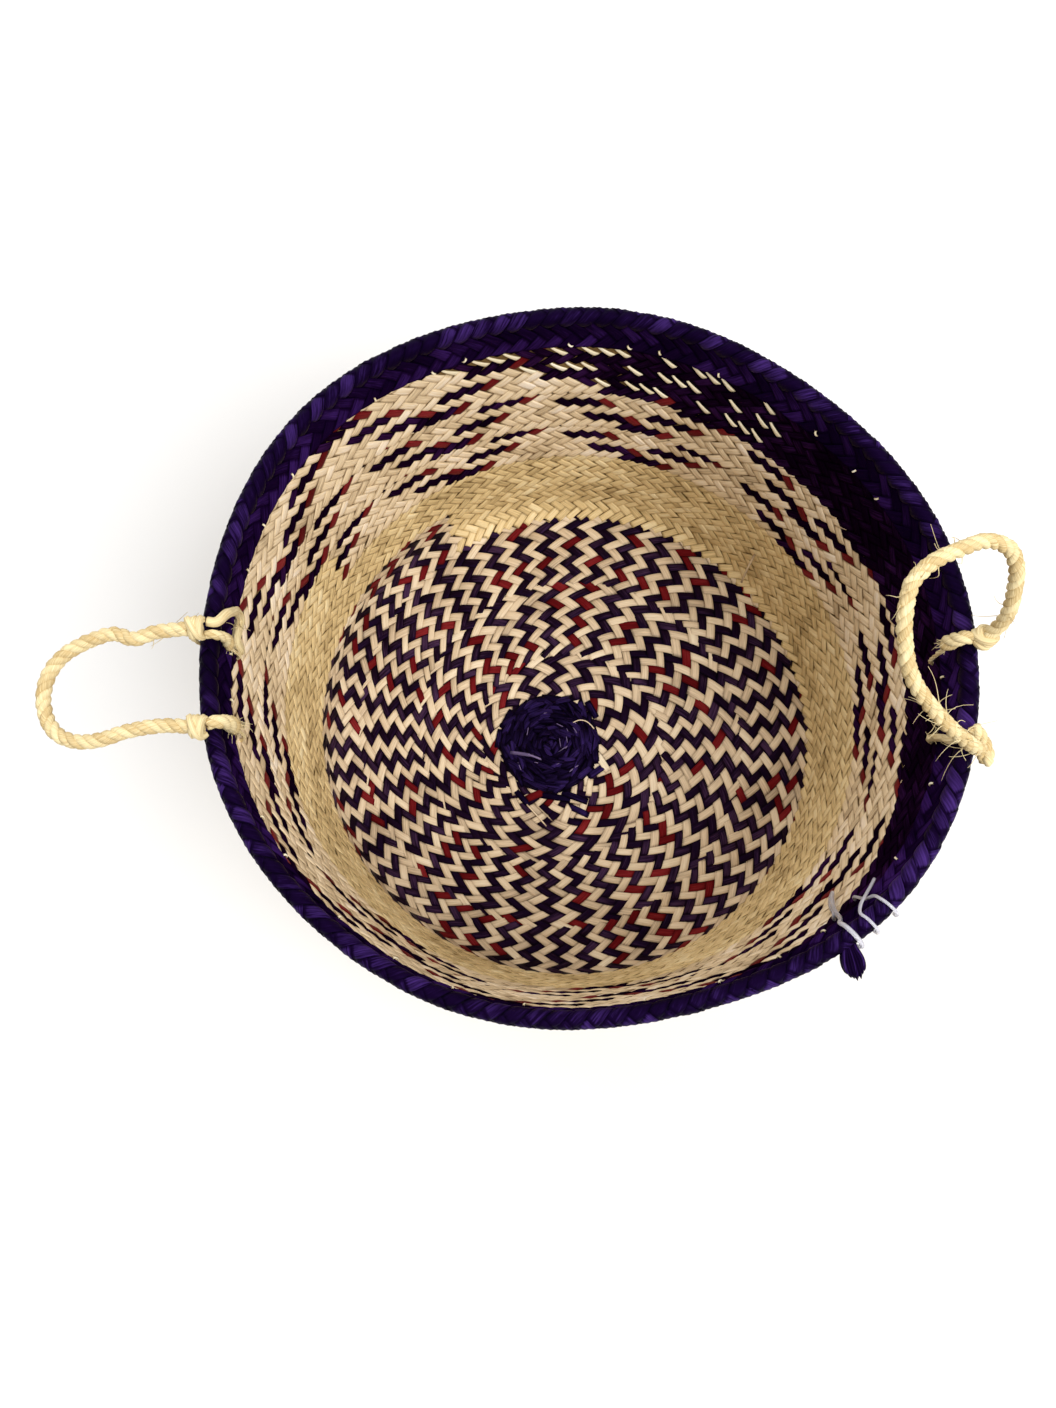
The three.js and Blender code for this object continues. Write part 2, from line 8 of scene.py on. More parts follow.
# %% Load the frame
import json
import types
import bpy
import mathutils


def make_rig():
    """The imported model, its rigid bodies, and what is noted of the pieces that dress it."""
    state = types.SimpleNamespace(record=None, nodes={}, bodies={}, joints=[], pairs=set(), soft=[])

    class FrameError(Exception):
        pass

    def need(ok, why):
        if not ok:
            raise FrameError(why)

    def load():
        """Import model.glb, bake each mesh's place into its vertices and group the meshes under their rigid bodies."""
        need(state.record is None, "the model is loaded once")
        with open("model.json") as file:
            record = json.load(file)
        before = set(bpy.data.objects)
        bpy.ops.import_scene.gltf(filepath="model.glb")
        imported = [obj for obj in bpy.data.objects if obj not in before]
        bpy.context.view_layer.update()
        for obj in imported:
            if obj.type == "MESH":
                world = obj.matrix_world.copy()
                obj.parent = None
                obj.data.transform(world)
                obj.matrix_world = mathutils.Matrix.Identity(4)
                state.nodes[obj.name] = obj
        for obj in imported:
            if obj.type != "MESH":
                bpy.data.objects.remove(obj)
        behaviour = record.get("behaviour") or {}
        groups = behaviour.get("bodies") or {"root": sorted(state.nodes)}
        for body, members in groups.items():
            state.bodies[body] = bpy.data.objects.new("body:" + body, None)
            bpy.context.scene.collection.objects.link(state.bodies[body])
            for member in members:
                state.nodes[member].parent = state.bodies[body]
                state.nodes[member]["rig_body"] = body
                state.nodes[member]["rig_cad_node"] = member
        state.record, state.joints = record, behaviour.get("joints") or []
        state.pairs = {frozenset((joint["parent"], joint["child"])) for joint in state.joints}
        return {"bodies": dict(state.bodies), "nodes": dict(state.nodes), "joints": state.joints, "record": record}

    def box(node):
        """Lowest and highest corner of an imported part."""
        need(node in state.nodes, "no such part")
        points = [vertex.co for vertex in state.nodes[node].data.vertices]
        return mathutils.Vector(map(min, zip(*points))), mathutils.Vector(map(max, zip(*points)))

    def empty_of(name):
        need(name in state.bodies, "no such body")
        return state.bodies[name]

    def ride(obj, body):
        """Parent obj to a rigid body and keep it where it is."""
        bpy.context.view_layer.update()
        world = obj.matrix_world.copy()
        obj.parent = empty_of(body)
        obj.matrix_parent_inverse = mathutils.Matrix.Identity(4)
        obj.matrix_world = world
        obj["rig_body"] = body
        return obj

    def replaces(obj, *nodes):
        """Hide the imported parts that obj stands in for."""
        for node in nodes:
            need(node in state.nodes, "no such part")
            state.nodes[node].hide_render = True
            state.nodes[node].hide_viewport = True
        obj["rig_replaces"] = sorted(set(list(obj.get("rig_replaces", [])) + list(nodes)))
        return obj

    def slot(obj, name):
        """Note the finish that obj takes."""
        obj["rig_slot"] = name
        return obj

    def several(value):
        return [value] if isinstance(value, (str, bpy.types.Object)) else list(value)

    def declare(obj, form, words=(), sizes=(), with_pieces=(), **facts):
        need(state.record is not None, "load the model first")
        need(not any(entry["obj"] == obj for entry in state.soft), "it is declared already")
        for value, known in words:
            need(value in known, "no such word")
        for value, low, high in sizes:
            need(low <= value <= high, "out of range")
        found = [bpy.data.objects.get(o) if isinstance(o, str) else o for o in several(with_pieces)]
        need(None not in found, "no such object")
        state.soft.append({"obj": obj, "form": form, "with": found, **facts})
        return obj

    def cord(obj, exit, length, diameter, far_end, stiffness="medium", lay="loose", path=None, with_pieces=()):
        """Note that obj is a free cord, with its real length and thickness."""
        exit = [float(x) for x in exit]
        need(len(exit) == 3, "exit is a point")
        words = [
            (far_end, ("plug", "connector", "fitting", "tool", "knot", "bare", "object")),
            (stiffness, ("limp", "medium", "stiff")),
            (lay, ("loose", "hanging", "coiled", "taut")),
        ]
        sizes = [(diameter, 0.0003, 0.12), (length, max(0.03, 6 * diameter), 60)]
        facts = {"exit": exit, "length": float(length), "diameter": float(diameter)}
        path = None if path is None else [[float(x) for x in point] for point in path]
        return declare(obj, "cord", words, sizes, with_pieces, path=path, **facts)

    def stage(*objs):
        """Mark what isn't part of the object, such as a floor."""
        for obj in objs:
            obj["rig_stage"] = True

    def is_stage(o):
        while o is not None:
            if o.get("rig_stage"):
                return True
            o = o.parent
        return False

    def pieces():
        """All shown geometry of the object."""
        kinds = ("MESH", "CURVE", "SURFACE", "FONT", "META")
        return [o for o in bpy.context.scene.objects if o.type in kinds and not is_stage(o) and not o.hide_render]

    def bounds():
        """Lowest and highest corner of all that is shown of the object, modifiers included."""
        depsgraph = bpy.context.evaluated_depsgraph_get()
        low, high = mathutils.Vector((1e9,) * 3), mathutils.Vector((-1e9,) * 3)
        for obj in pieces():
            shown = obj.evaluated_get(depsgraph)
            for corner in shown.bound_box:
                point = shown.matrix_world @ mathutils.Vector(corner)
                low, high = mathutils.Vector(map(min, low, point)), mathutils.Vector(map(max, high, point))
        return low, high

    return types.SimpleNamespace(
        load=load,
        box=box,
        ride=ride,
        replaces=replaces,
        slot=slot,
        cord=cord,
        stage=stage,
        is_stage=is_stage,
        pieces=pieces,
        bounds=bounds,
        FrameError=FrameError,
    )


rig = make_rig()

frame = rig.load()
cad_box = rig.bounds()

import json
import math

import bpy
import numpy as np
from mathutils import Vector

bpy.ops.object.select_all(action="DESELECT")
MM = 0.001
rng = np.random.default_rng(7)
print("bodies:", sorted(frame["bodies"]), "nodes:", len(frame["nodes"]))

# %% [markdown]
# ## Finishes
#
# Nearly everything here is palm leaf: long flat fibres, dried, split into strips and partly dyed. A
# strip shows fine lines along its length, and no two strips have quite the same tone. So each strip
# carries two things in its mesh: a random tone, lowered by painted shade at a laid strip's ends and sides,
# and a map that runs along and across it in millimetres. The materials read those, so the grain follows
# every strip wherever it turns.

# %% Helpers for materials
def linear(hex_colour):
    """An sRGB hex colour as linear red, green, blue and alpha."""
    shares = [int(hex_colour[start:start + 2], 16) / 255 for start in (1, 3, 5)]
    return tuple(s / 12.92 if s <= 0.04045 else ((s + 0.055) / 1.055) ** 2.4 for s in shares) + (1.0,)


def set_sockets(tree, node, sockets):
    """Sets or links a node's input sockets."""
    for name, value in sockets.items():
        if isinstance(value, bpy.types.NodeSocket):
            tree.links.new(value, node.inputs[name])
        else:
            node.inputs[name].default_value = value


def add_node(tree, kind, settings=None, sockets=None):
    """Adds a node with its properties and its input sockets."""
    node = tree.nodes.new(kind)
    for name, value in (settings or {}).items():
        setattr(node, name, value)
    set_sockets(tree, node, sockets or {})
    return node


def new_material(name):
    """An empty material with its node tree and its shader."""
    material = bpy.data.materials.new(name)
    material.use_nodes = True
    return material, material.node_tree, material.node_tree.nodes["Principled BSDF"]


print("middle grey in linear light:", round(linear("#808080")[0], 3))

# %% Patterns for materials
def strip_tone(tree):
    """The tone that each strip carries."""
    return add_node(tree, "ShaderNodeAttribute", {"attribute_name": "tone"}).outputs["Fac"]


def fibre_lines(tree, width, length, roughness):
    """Lines along a strip's own map, of about this width and length in millimetres."""
    along = add_node(tree, "ShaderNodeUVMap", {"uv_map": "strip"})
    stretched = add_node(tree, "ShaderNodeMapping", None,
                         {"Vector": along.outputs[0], "Scale": (1 / width, 1 / length, 1)})
    sockets = {"Vector": stretched.outputs[0], "Scale": 1.0, "Detail": 3.0, "Roughness": roughness}
    return add_node(tree, "ShaderNodeTexNoise", {"noise_dimensions": "2D"}, sockets).outputs[0]


def clouds(tree, size):
    """Soft blotches of about this size in millimetres."""
    where = add_node(tree, "ShaderNodeTexCoord")
    sockets = {"Vector": where.outputs["Object"], "Scale": 1 / (size * MM), "Detail": 2.0}
    return add_node(tree, "ShaderNodeTexNoise", None, sockets).outputs[0]


def bumps(tree, height, strength, depth):
    """Fine relief from a pattern."""
    sockets = {"Height": height, "Strength": strength, "Distance": depth}
    return add_node(tree, "ShaderNodeBump", None, sockets).outputs[0]


# %% Sums and mixtures for materials
# Places of the colour sockets on a Mix node
MIX_A, MIX_B, MIX_RESULT = 6, 7, 2


def spread(tree, value, low, high):
    """A value from low to high, spread over 0 to 1."""
    sockets = {0: value, "From Min": low, "From Max": high}
    return add_node(tree, "ShaderNodeMapRange", None, sockets).outputs[0]


def between(tree, share, low, high):
    """A share from 0 to 1 as a value between low and high."""
    sockets = {0: share, "To Min": low, "To Max": high}
    return add_node(tree, "ShaderNodeMapRange", None, sockets).outputs[0]


def weighted_sum(tree, value, weight, rest):
    """A value times its weight, added to the rest."""
    sockets = {0: value, 1: weight, 2: rest}
    return add_node(tree, "ShaderNodeMath", {"operation": "MULTIPLY_ADD"}, sockets).outputs[0]


def mixed(tree, share, first, second):
    """Two colours mixed by a share."""
    sockets = {0: share, MIX_A: first, MIX_B: second}
    return add_node(tree, "ShaderNodeMix", {"data_type": "RGBA"}, sockets).outputs[MIX_RESULT]


# %% Palm leaf, natural and dyed
# Fibre lines are about 0.3 mm apart on the real leaf; they are drawn coarser so that they show.
LINE_WIDTH, LINE_LENGTH, LINE_ROUGHNESS = 0.8, 14, 0.65
LINE_RELIEF, LINE_DEPTH = 0.35, 0.15 * MM
BLOTCH_SIZE = 35
# How much a strip's own tone and its fibre lines count in its colour, beside the blotches
TONE_SHARE, LINE_SHARE = 0.62, 0.45
# The noise of the lines that counts, and the sums where shade turns to body and body to light
LINE_NOISE, SHADE_TO_BODY, BODY_TO_LIGHT = (0.3, 0.7), (0.2, 1.0), (1.0, 1.6)
SMOOTHER, ROUGHER = 0.1, 0.15


def palm_leaf(name, shade, body, light, roughness, specular, sheen="#FFFFFF"):
    """Dried, split palm leaf: a dull satin strip with lines along it and a tone of its own."""
    material, tree, shader = new_material(name)
    lines = fibre_lines(tree, LINE_WIDTH, LINE_LENGTH, LINE_ROUGHNESS)
    # A low tone mixes towards the shade colour; on laid strips it also carries painted shade at the edges
    amount = weighted_sum(tree, strip_tone(tree), TONE_SHARE, clouds(tree, BLOTCH_SIZE))
    amount = weighted_sum(tree, spread(tree, lines, *LINE_NOISE), LINE_SHARE, amount)
    darker = mixed(tree, spread(tree, amount, *SHADE_TO_BODY), linear(shade), linear(body))
    set_sockets(tree, shader, {
        "Base Color": mixed(tree, spread(tree, amount, *BODY_TO_LIGHT), darker, linear(light)),
        "Roughness": between(tree, lines, roughness - SMOOTHER, roughness + ROUGHER),
        "Normal": bumps(tree, lines, LINE_RELIEF, LINE_DEPTH),
        "Specular IOR Level": specular, "Specular Tint": linear(sheen)})
    return material


NATURAL_LEAF = palm_leaf("palm_leaf_natural", "#7A6036", "#E8CC94", "#FFF0C6", 0.5, 0.3)
SUNNED_LEAF = palm_leaf("palm_leaf_sunned", "#74593A", "#E9D0A8", "#FFF1DE", 0.5, 0.3)
PALE_LEAF = palm_leaf("palm_leaf_bleached", "#735D48", "#DCC4A2", "#F8E8CA", 0.5, 0.3)
FRESH_LEAF = palm_leaf("palm_leaf_fresh", "#B8A47C", "#F6E8C6", "#FFF8E4", 0.5, 0.3)
PURPLE_LEAF = palm_leaf("palm_leaf_dyed_purple", "#040204", "#180A15", "#4E3450", 0.45, 0.16, "#7048B8")
DEEP_LEAF = palm_leaf("palm_leaf_dyed_deep_purple", "#030104", "#130317", "#381846", 0.5, 0.0, "#7048B8")
RIM_LEAF = palm_leaf("palm_leaf_dyed_violet", "#040109", "#100420", "#3E2666", 0.48, 0.07, "#7C54D0")
RIM_INNER_LEAF = palm_leaf("palm_leaf_dyed_violet_dull", "#060110", "#170628", "#3A1E60", 0.55, 0.0)
COIL_LEAF = palm_leaf("palm_leaf_dyed_purple_coil", "#010002", "#080310", "#33225A", 0.4, 0.2, "#7050B8")
# A pale violet leaf for a faded strip by the coil and for painted glints, short light strips on the coil
FADED_AND_GLINT_LEAF = palm_leaf("palm_leaf_dyed_faded_and_painted_glint", "#3A2E4C", "#6E5C84", "#9484A6", 0.45, 0.2)
RED_LEAF = palm_leaf("palm_leaf_dyed_red", "#280405", "#621216", "#8C2C2E", 0.48, 0.15, "#C04040")
# Darker copies of the leaf under the strips, the rim's core and the coil's disc: painted shade in the gaps
SHADED_LEAF = palm_leaf("palm_leaf_painted_shade_under", "#40301A", "#6A5230", "#8A7044", 0.7, 0.1)
SHADED_PURPLE = palm_leaf("palm_leaf_painted_shade_under_purple", "#030106", "#0A0414", "#140A24", 0.7, 0.05)
print("palm leaf materials:", NATURAL_LEAF.name, PURPLE_LEAF.name, RED_LEAF.name)

# %% [markdown]
# ## Sisal and clear plastic
#
# The rope is sisal, a coarse straw fibre that stays dull and pale. It reads the same tone and map as the
# palm leaf, with finer and deeper lines, so its yarns show along every twist. The loops left from a tag
# are clear plastic. They are too thin for a tint to tell, so only their gloss varies a little.

# %% Sisal and clear plastic
SISAL_WIDTH, SISAL_LENGTH, SISAL_ROUGHNESS = 0.5, 9, 0.6
SISAL_RELIEF, SISAL_DEPTH = 0.6, 0.25 * MM
SISAL_TONE_SHARE, SISAL_DARK_TO_LIGHT = 0.45, (0.4, 1.0)
CLOUD_SIZE, CLEAR_ROUGHNESS = 4, (0.12, 0.3)


def sisal(name):
    """Sisal: coarse pale straw fibre twisted into strands, dull, with darker lines between its yarns."""
    material, tree, shader = new_material(name)
    lines = fibre_lines(tree, SISAL_WIDTH, SISAL_LENGTH, SISAL_ROUGHNESS)
    amount = weighted_sum(tree, strip_tone(tree), SISAL_TONE_SHARE, lines)
    share = spread(tree, amount, *SISAL_DARK_TO_LIGHT)
    set_sockets(tree, shader, {
        "Base Color": mixed(tree, share, linear("#B3935A"), linear("#F0DFB0")),
        "Roughness": 0.8,
        "Normal": bumps(tree, lines, SISAL_RELIEF, SISAL_DEPTH),
        "Specular IOR Level": 0.25})
    return material


def clear_plastic(name):
    """Clear polypropylene, extruded: milky, with a soft gloss."""
    material, tree, shader = new_material(name)
    set_sockets(tree, shader, {
        "Base Color": linear("#EDEBF2"),
        "Roughness": between(tree, clouds(tree, CLOUD_SIZE), *CLEAR_ROUGHNESS),
        "Transmission Weight": 0.6,
        "IOR": 1.49})
    return material


SISAL = sisal("sisal_fibre_twisted")
CLEAR = clear_plastic("polypropylene_clear")
print("other materials:", SISAL.name, CLEAR.name)

# %% [markdown]
# ## Camera, light and floor
#
# The photograph looks down into the basket from a little in front of it, so the camera stands high and
# is tipped by only twelve degrees. Two large soft lamps and an even sky give the light of a small studio.

# %% Camera
PHOTO_WIDTH = 1056
FOCAL_PIXELS = 1057
SENSOR_WIDTH = 36
CAMERA_PLACE = (-23.2 * MM, -123.7 * MM, 638.5 * MM)
CAMERA_TIP = 12.37
CAMERA_ROLL = 0.18
camera_data = bpy.data.cameras.new("camera")
camera_data.sensor_fit = "HORIZONTAL"
camera_data.sensor_width = SENSOR_WIDTH
camera_data.lens = SENSOR_WIDTH * FOCAL_PIXELS / PHOTO_WIDTH
camera_data.clip_start = 0.01
camera = bpy.data.objects.new("camera", camera_data)
camera.location = CAMERA_PLACE
camera.rotation_euler = (math.radians(CAMERA_TIP), math.radians(CAMERA_ROLL), 0)
scene = bpy.context.scene
scene.collection.objects.link(camera)
scene.camera = camera
scene.view_settings.view_transform = "Standard"
print("lens:", round(camera_data.lens, 2))

# %% Light
LAMP_AIM = (0, 0, 0.08)
world = bpy.data.worlds.new("studio")
world.use_nodes = True
sky = world.node_tree.nodes["Background"]
set_sockets(world.node_tree, sky, {"Color": linear("#F4F4F6"), "Strength": 0.55})
scene.world = world


def soft_lamp(name, place, size, power):
    """A square lamp that faces the middle of the basket."""
    data = bpy.data.lights.new(name, "AREA")
    data.size = size
    data.energy = power
    lamp = bpy.data.objects.new(name, data)
    lamp.location = place
    away = lamp.location - Vector(LAMP_AIM)
    lamp.rotation_euler = away.to_track_quat("Z", "Y").to_euler()
    scene.collection.objects.link(lamp)
    return lamp


key_lamp = soft_lamp("key_lamp", (0.6, -0.5, 1.35), 0.9, 22)
fill_lamp = soft_lamp("fill_lamp", (-0.55, 0.8, 1.1), 1.2, 12)
print("lamps:", key_lamp.name, key_lamp.data.energy, "W,", fill_lamp.name, fill_lamp.data.energy, "W")

# %% Floor
FLOOR_SIZE, FLOOR_CELLS = 6, 8
bpy.ops.mesh.primitive_grid_add(x_subdivisions=FLOOR_CELLS, y_subdivisions=FLOOR_CELLS, size=FLOOR_SIZE)
floor = bpy.context.object
floor.name = "floor"
floor_material, floor_tree, floor_shader = new_material("floor_matte_paint")
set_sockets(floor_tree, floor_shader, {"Base Color": linear("#E9E8E6"), "Roughness": 0.9})
floor.data.materials.append(floor_material)
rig.stage(floor)
print("floor:", [round(side, 1) for side in floor.dimensions], "m")

# %% [markdown]
# ## Rope
#
# A sisal rope is three strands twisted round each other, and each strand is a bundle of yarns with a
# twist of its own. A plain tube with stripes would look painted, so each strand is a real helix round
# the rope's line. The same function makes the handles and the ends that hold them.

# %% Curves
def smooth_path(points, step):
    """A smooth line through the points (centripetal Catmull-Rom), sampled at about the given step."""
    points = np.asarray(points, float)
    padded = np.vstack([2 * points[0] - points[1], points, 2 * points[-1] - points[-2]])
    line = []
    for before, start, end, after in zip(padded, padded[1:], padded[2:], padded[3:]):
        spans = [np.linalg.norm(b - a) ** 0.5 for a, b in ((before, start), (start, end), (end, after))]
        leave = spans[1] * ((start - before) / spans[0] - (end - before) / (spans[0] + spans[1])
                            + (end - start) / spans[1])
        reach = spans[1] * ((end - start) / spans[1] - (after - start) / (spans[1] + spans[2])
                            + (after - end) / spans[2])
        count = max(2, int(np.linalg.norm(end - start) / step))
        t = np.linspace(0, 1, count, endpoint=False)[:, None]
        line.append((2 * t**3 - 3 * t**2 + 1) * start + (t**3 - 2 * t**2 + t) * leave
                    + (3 * t**2 - 2 * t**3) * end + (t**3 - t**2) * reach)
    return np.vstack(line + [points[-1:]])


def unit(vectors):
    """Vectors of length 1 in the same directions."""
    return vectors / np.linalg.norm(vectors, axis=-1, keepdims=True)


def line_length(line):
    """The length of a line of points."""
    return np.linalg.norm(np.diff(line, axis=0), axis=1).sum()


def run_along(line):
    """How far each point of a line lies along it from the first."""
    return np.concatenate([[0], np.cumsum(np.linalg.norm(np.diff(line, axis=0), axis=1))])


def frames_along(line):
    """Side and up at each point of a line, carried along it without twist."""
    tangent = unit(np.gradient(line, axis=0))
    helper = (0, 0, 1) if abs(tangent[0][2]) < 0.8 else (1, 0, 0)
    side = unit(np.cross(tangent[0], helper))
    sides = [side]
    for direction in tangent[1:]:
        side = unit(side - direction * np.dot(side, direction))
        sides.append(side)
    sides = np.array(sides)
    return sides, np.cross(tangent, sides)


corner_path = smooth_path(((0, 0, 0), (1, 0, 0), (1, 1, 0)), 0.1)
print("a path round a corner:", len(corner_path), "points, length", round(line_length(corner_path), 2))

# %% Tubes
def tube_grid(line, radius, corners, turn=None, flutes=0, flute_depth=0.0):
    """Points of a tube, one ring for each point of the line, and each point's place in millimetres."""
    side, up = frames_along(line)
    radius = np.broadcast_to(radius, len(line))
    turn = np.zeros(len(line)) if turn is None else turn
    corner = np.linspace(0, 2 * math.pi, corners, endpoint=False)
    lean = corner[None, :] + turn[:, None]
    reach = radius[:, None] * (1 + flute_depth * np.cos(flutes * corner)[None, :])
    points = (line[:, None] + reach[..., None] * (np.cos(lean)[..., None] * side[:, None]
              + np.sin(lean)[..., None] * up[:, None]))
    across = np.broadcast_to(corner[None, :] * radius[:, None], lean.shape)
    along = np.broadcast_to(run_along(line)[:, None], lean.shape)
    return points.reshape(-1, 3), np.stack([across, along], -1).reshape(-1, 2) / MM


def tube_faces(rings, corners):
    """Quads of a tube and one polygon at each end."""
    ring = np.arange(rings - 1)[:, None] * corners
    k = np.arange(corners)[None, :]
    after = (k + 1) % corners
    quads = np.stack([ring + k, ring + after, ring + corners + after, ring + corners + k], -1)
    last = (rings - 1) * corners
    caps = [list(range(corners))[::-1], list(range(last, last + corners))]
    return quads.reshape(-1, 4).tolist() + caps


print("a tube of 10 rings with 6 corners:", len(tube_faces(10, 6)), "faces")

# %% Collecting a mesh
FLOOR_GAP = 0.03 * MM


class Mesh:
    """Collects points, faces, tones, strip maps and material numbers, and becomes one piece."""

    def __init__(self):
        self.points, self.strips, self.tones, self.faces, self.kinds = [], [], [], [], []
        self.count = 0

    def add(self, points, strips, tones, faces, kind=0):
        """Adds points with their maps and tones, and faces of one material or one each."""
        self.points.append(points)
        self.strips.append(strips)
        self.tones.append(np.broadcast_to(tones, len(points)))
        self.faces.extend([[corner + self.count for corner in face] for face in faces])
        self.kinds.extend([kind] * len(faces) if np.isscalar(kind) else list(kind))
        self.count += len(points)

    def piece(self, name, materials, body, slot, nodes=()):
        """Makes the piece, which rides on a body and replaces the given nodes."""
        points = np.vstack(self.points)
        # What touches the floor is pressed flat by the basket's weight
        points[:, 2] = np.maximum(points[:, 2], FLOOR_GAP)
        mesh = bpy.data.meshes.new(name)
        mesh.from_pydata(points.tolist(), [], self.faces)
        for material in materials:
            mesh.materials.append(material)
        mesh.polygons.foreach_set("material_index", np.array(self.kinds, np.int32))
        mesh.polygons.foreach_set("use_smooth", np.ones(len(mesh.polygons), bool))
        tone = mesh.attributes.new("tone", "FLOAT", "POINT")
        tone.data.foreach_set("value", np.concatenate(self.tones).astype(np.float32))
        corners = np.zeros(len(mesh.loops), np.int32)
        mesh.loops.foreach_get("vertex_index", corners)
        layer = mesh.uv_layers.new(name="strip")
        layer.data.foreach_set("uv", np.vstack(self.strips)[corners].astype(np.float32).ravel())
        mesh.update()
        made = bpy.data.objects.new(name, mesh)
        scene.collection.objects.link(made)
        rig.ride(made, body)
        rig.slot(made, slot)
        if nodes:
            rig.replaces(made, *nodes)
        print(name, len(mesh.polygons), "faces")
        return made


# %% Adding a tube
def add_tube(mesh, line, radius, corners, tone, kind=0, shift=0.0, **shape):
    """Adds a tube along a line, with one tone or one for each ring. A shift moves its fibre lines."""
    points, strips = tube_grid(line, radius, corners, **shape)
    tones = np.repeat(np.broadcast_to(tone, len(line)), corners)
    mesh.add(points, strips + shift, tones, tube_faces(len(line), corners), kind)


# %% A twisted rope
ROPE_LAY = 13 * MM
ROPE_STRANDS = 3
STRAND_CORNERS = 14
STRAND_YARNS = 5
STRAND_SWELL = 1.2
STRAND_FLUTE = 0.05
STRAND_WOBBLE, WOBBLE_LENGTHS = 0.05, (5 * MM, 13 * MM)
ROPE_TONE, ROPE_TONE_SWING, ROPE_TONE_LENGTH = 0.5, 0.3, 17 * MM
# Each strand takes its fibre lines from another part of the pattern, which is this many millimetres wide
PATTERN_REACH = 400


def add_rope(mesh, line, diameter, lay=ROPE_LAY, strands=ROPE_STRANDS):
    """Strands laid round a line: each is a fluted tube on a helix, so that its yarns show."""
    strand_radius = diameter / 2 / (1 + 1 / math.sin(math.pi / strands)) * STRAND_SWELL
    helix_radius = np.broadcast_to(diameter / 2 - strand_radius, len(line))[:, None]
    side, up = frames_along(line)
    run = run_along(line)
    for strand in range(strands):
        lean = 2 * math.pi * (run / lay + strand / strands)
        middle = line + helix_radius * (np.cos(lean)[:, None] * side + np.sin(lean)[:, None] * up)
        wobble = (1 + STRAND_WOBBLE * np.sin(run / WOBBLE_LENGTHS[0] + rng.uniform(0, 6))
                  * np.sin(run / WOBBLE_LENGTHS[1] + strand))
        tones = ROPE_TONE + ROPE_TONE_SWING * np.sin(run / ROPE_TONE_LENGTH + 2 * strand)
        add_tube(mesh, middle, strand_radius * wobble, STRAND_CORNERS, tones,
                 shift=rng.uniform(0, PATTERN_REACH, 2),
                 turn=-2 * lean, flutes=STRAND_YARNS, flute_depth=STRAND_FLUTE)


# %% A bundle of fibres
BUNDLE_CORNERS, BUNDLE_YARNS, BUNDLE_FLUTE, BUNDLE_TONE = 24, 6, 0.09, 0.6


def add_bundle(mesh, line, diameter):
    """A bundle of fibres without a twist: one fluted tube."""
    add_tube(mesh, line, diameter / 2, BUNDLE_CORNERS, BUNDLE_TONE,
             shift=rng.uniform(0, PATTERN_REACH, 2), flutes=BUNDLE_YARNS, flute_depth=BUNDLE_FLUTE)


# %% [markdown]
# ## The rope handles
#
# Each handle leaves its rear knot, makes its loop and returns to the front knot. The loop's points are
# distances along the rim, outwards and upwards from the middle between the two knots, as on the solid.

# %% Handle frames and routes
ROPE_DIAMETER = 6.6 * MM
ROPE_STEP = 0.9 * MM
KNOT_REACH = 2.0 * MM
LEFT_ROUTE = [(21, 17, 0), (19, 27, -1), (22, 35, -1), (20, 46, -2), (15, 57, -3), (8, 63.5, -4),
              (0, 66, -4), (-9, 65.5, -4), (-18, 61, -3), (-23, 53, -2), (-24, 43, -1), (-21, 28, 0),
              (-20, 15, 0)]
RIGHT_ROUTE = [(28, 3, 9), (32, 3, 17), (38, 1, 26), (43, -2, 34), (48, -8, 41), (48, -19, 46),
               (41, -32, 49), (35, -41, 50), (26, -48, 49), (15, -49, 46), (5, -47, 41), (-6, -42, 35),
               (-15, -32, 28), (-22, -19, 19), (-25, -8, 10)]


def middle_of(node):
    """The middle of a CAD node's box."""
    low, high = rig.box(node)
    return (np.array(low) + np.array(high)) / 2


def handle_points(side, route):
    """The rope's points in the frame, from the rear knot to the front one."""
    rear, front = middle_of(f"{side}_rear_knot"), middle_of(f"{side}_front_knot")
    along = unit((rear - front) * (1, 1, 0))
    outwards = np.array([along[1], -along[0], 0]) * (-1 if side == "left" else 1)
    middle = (rear + front) / 2
    steps = np.array(route) * MM
    points = middle + steps[:, :1] * along + steps[:, 1:2] * outwards + steps[:, 2:] * (0, 0, 1)
    leave = rear + KNOT_REACH * unit(points[0] - rear)
    reach = front + KNOT_REACH * unit(points[-1] - front)
    return np.vstack([leave, points, reach])


handle_lines = {}
for handle_side, handle_route in (("left", LEFT_ROUTE), ("right", RIGHT_ROUTE)):
    rope_line = smooth_path(handle_points(handle_side, handle_route), ROPE_STEP)
    rope = Mesh()
    add_rope(rope, rope_line, ROPE_DIAMETER)
    rope_piece = rope.piece(f"{handle_side}_rope", [SISAL], f"{handle_side}_handle", "sisal_rope",
                            [f"{handle_side}_handle_rope"])
    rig.cord(rope_piece, exit=rope_line[0], length=line_length(rope_line), diameter=ROPE_DIAMETER,
            far_end="object", stiffness="stiff", lay="loose", path=rope_line)
    handle_lines[handle_side] = rope_line
    print(handle_side, "rope length:", round(line_length(rope_line) / MM), "mm")

# %% [markdown]
# ## The bowl's shape
#
# The plait follows a flat base, a round corner and a flared wall. A point on it is given by how far it
# lies from the middle along that outline, by its angle round the basket and by its distance inwards. The
# seam between two turns climbs evenly on the base, and gathers into one step near the rim.

# %% Outline of the bowl
BASE_RADIUS, RIM_RADIUS, HEIGHT, CORNER_RADIUS = 147, 162, 200, 18
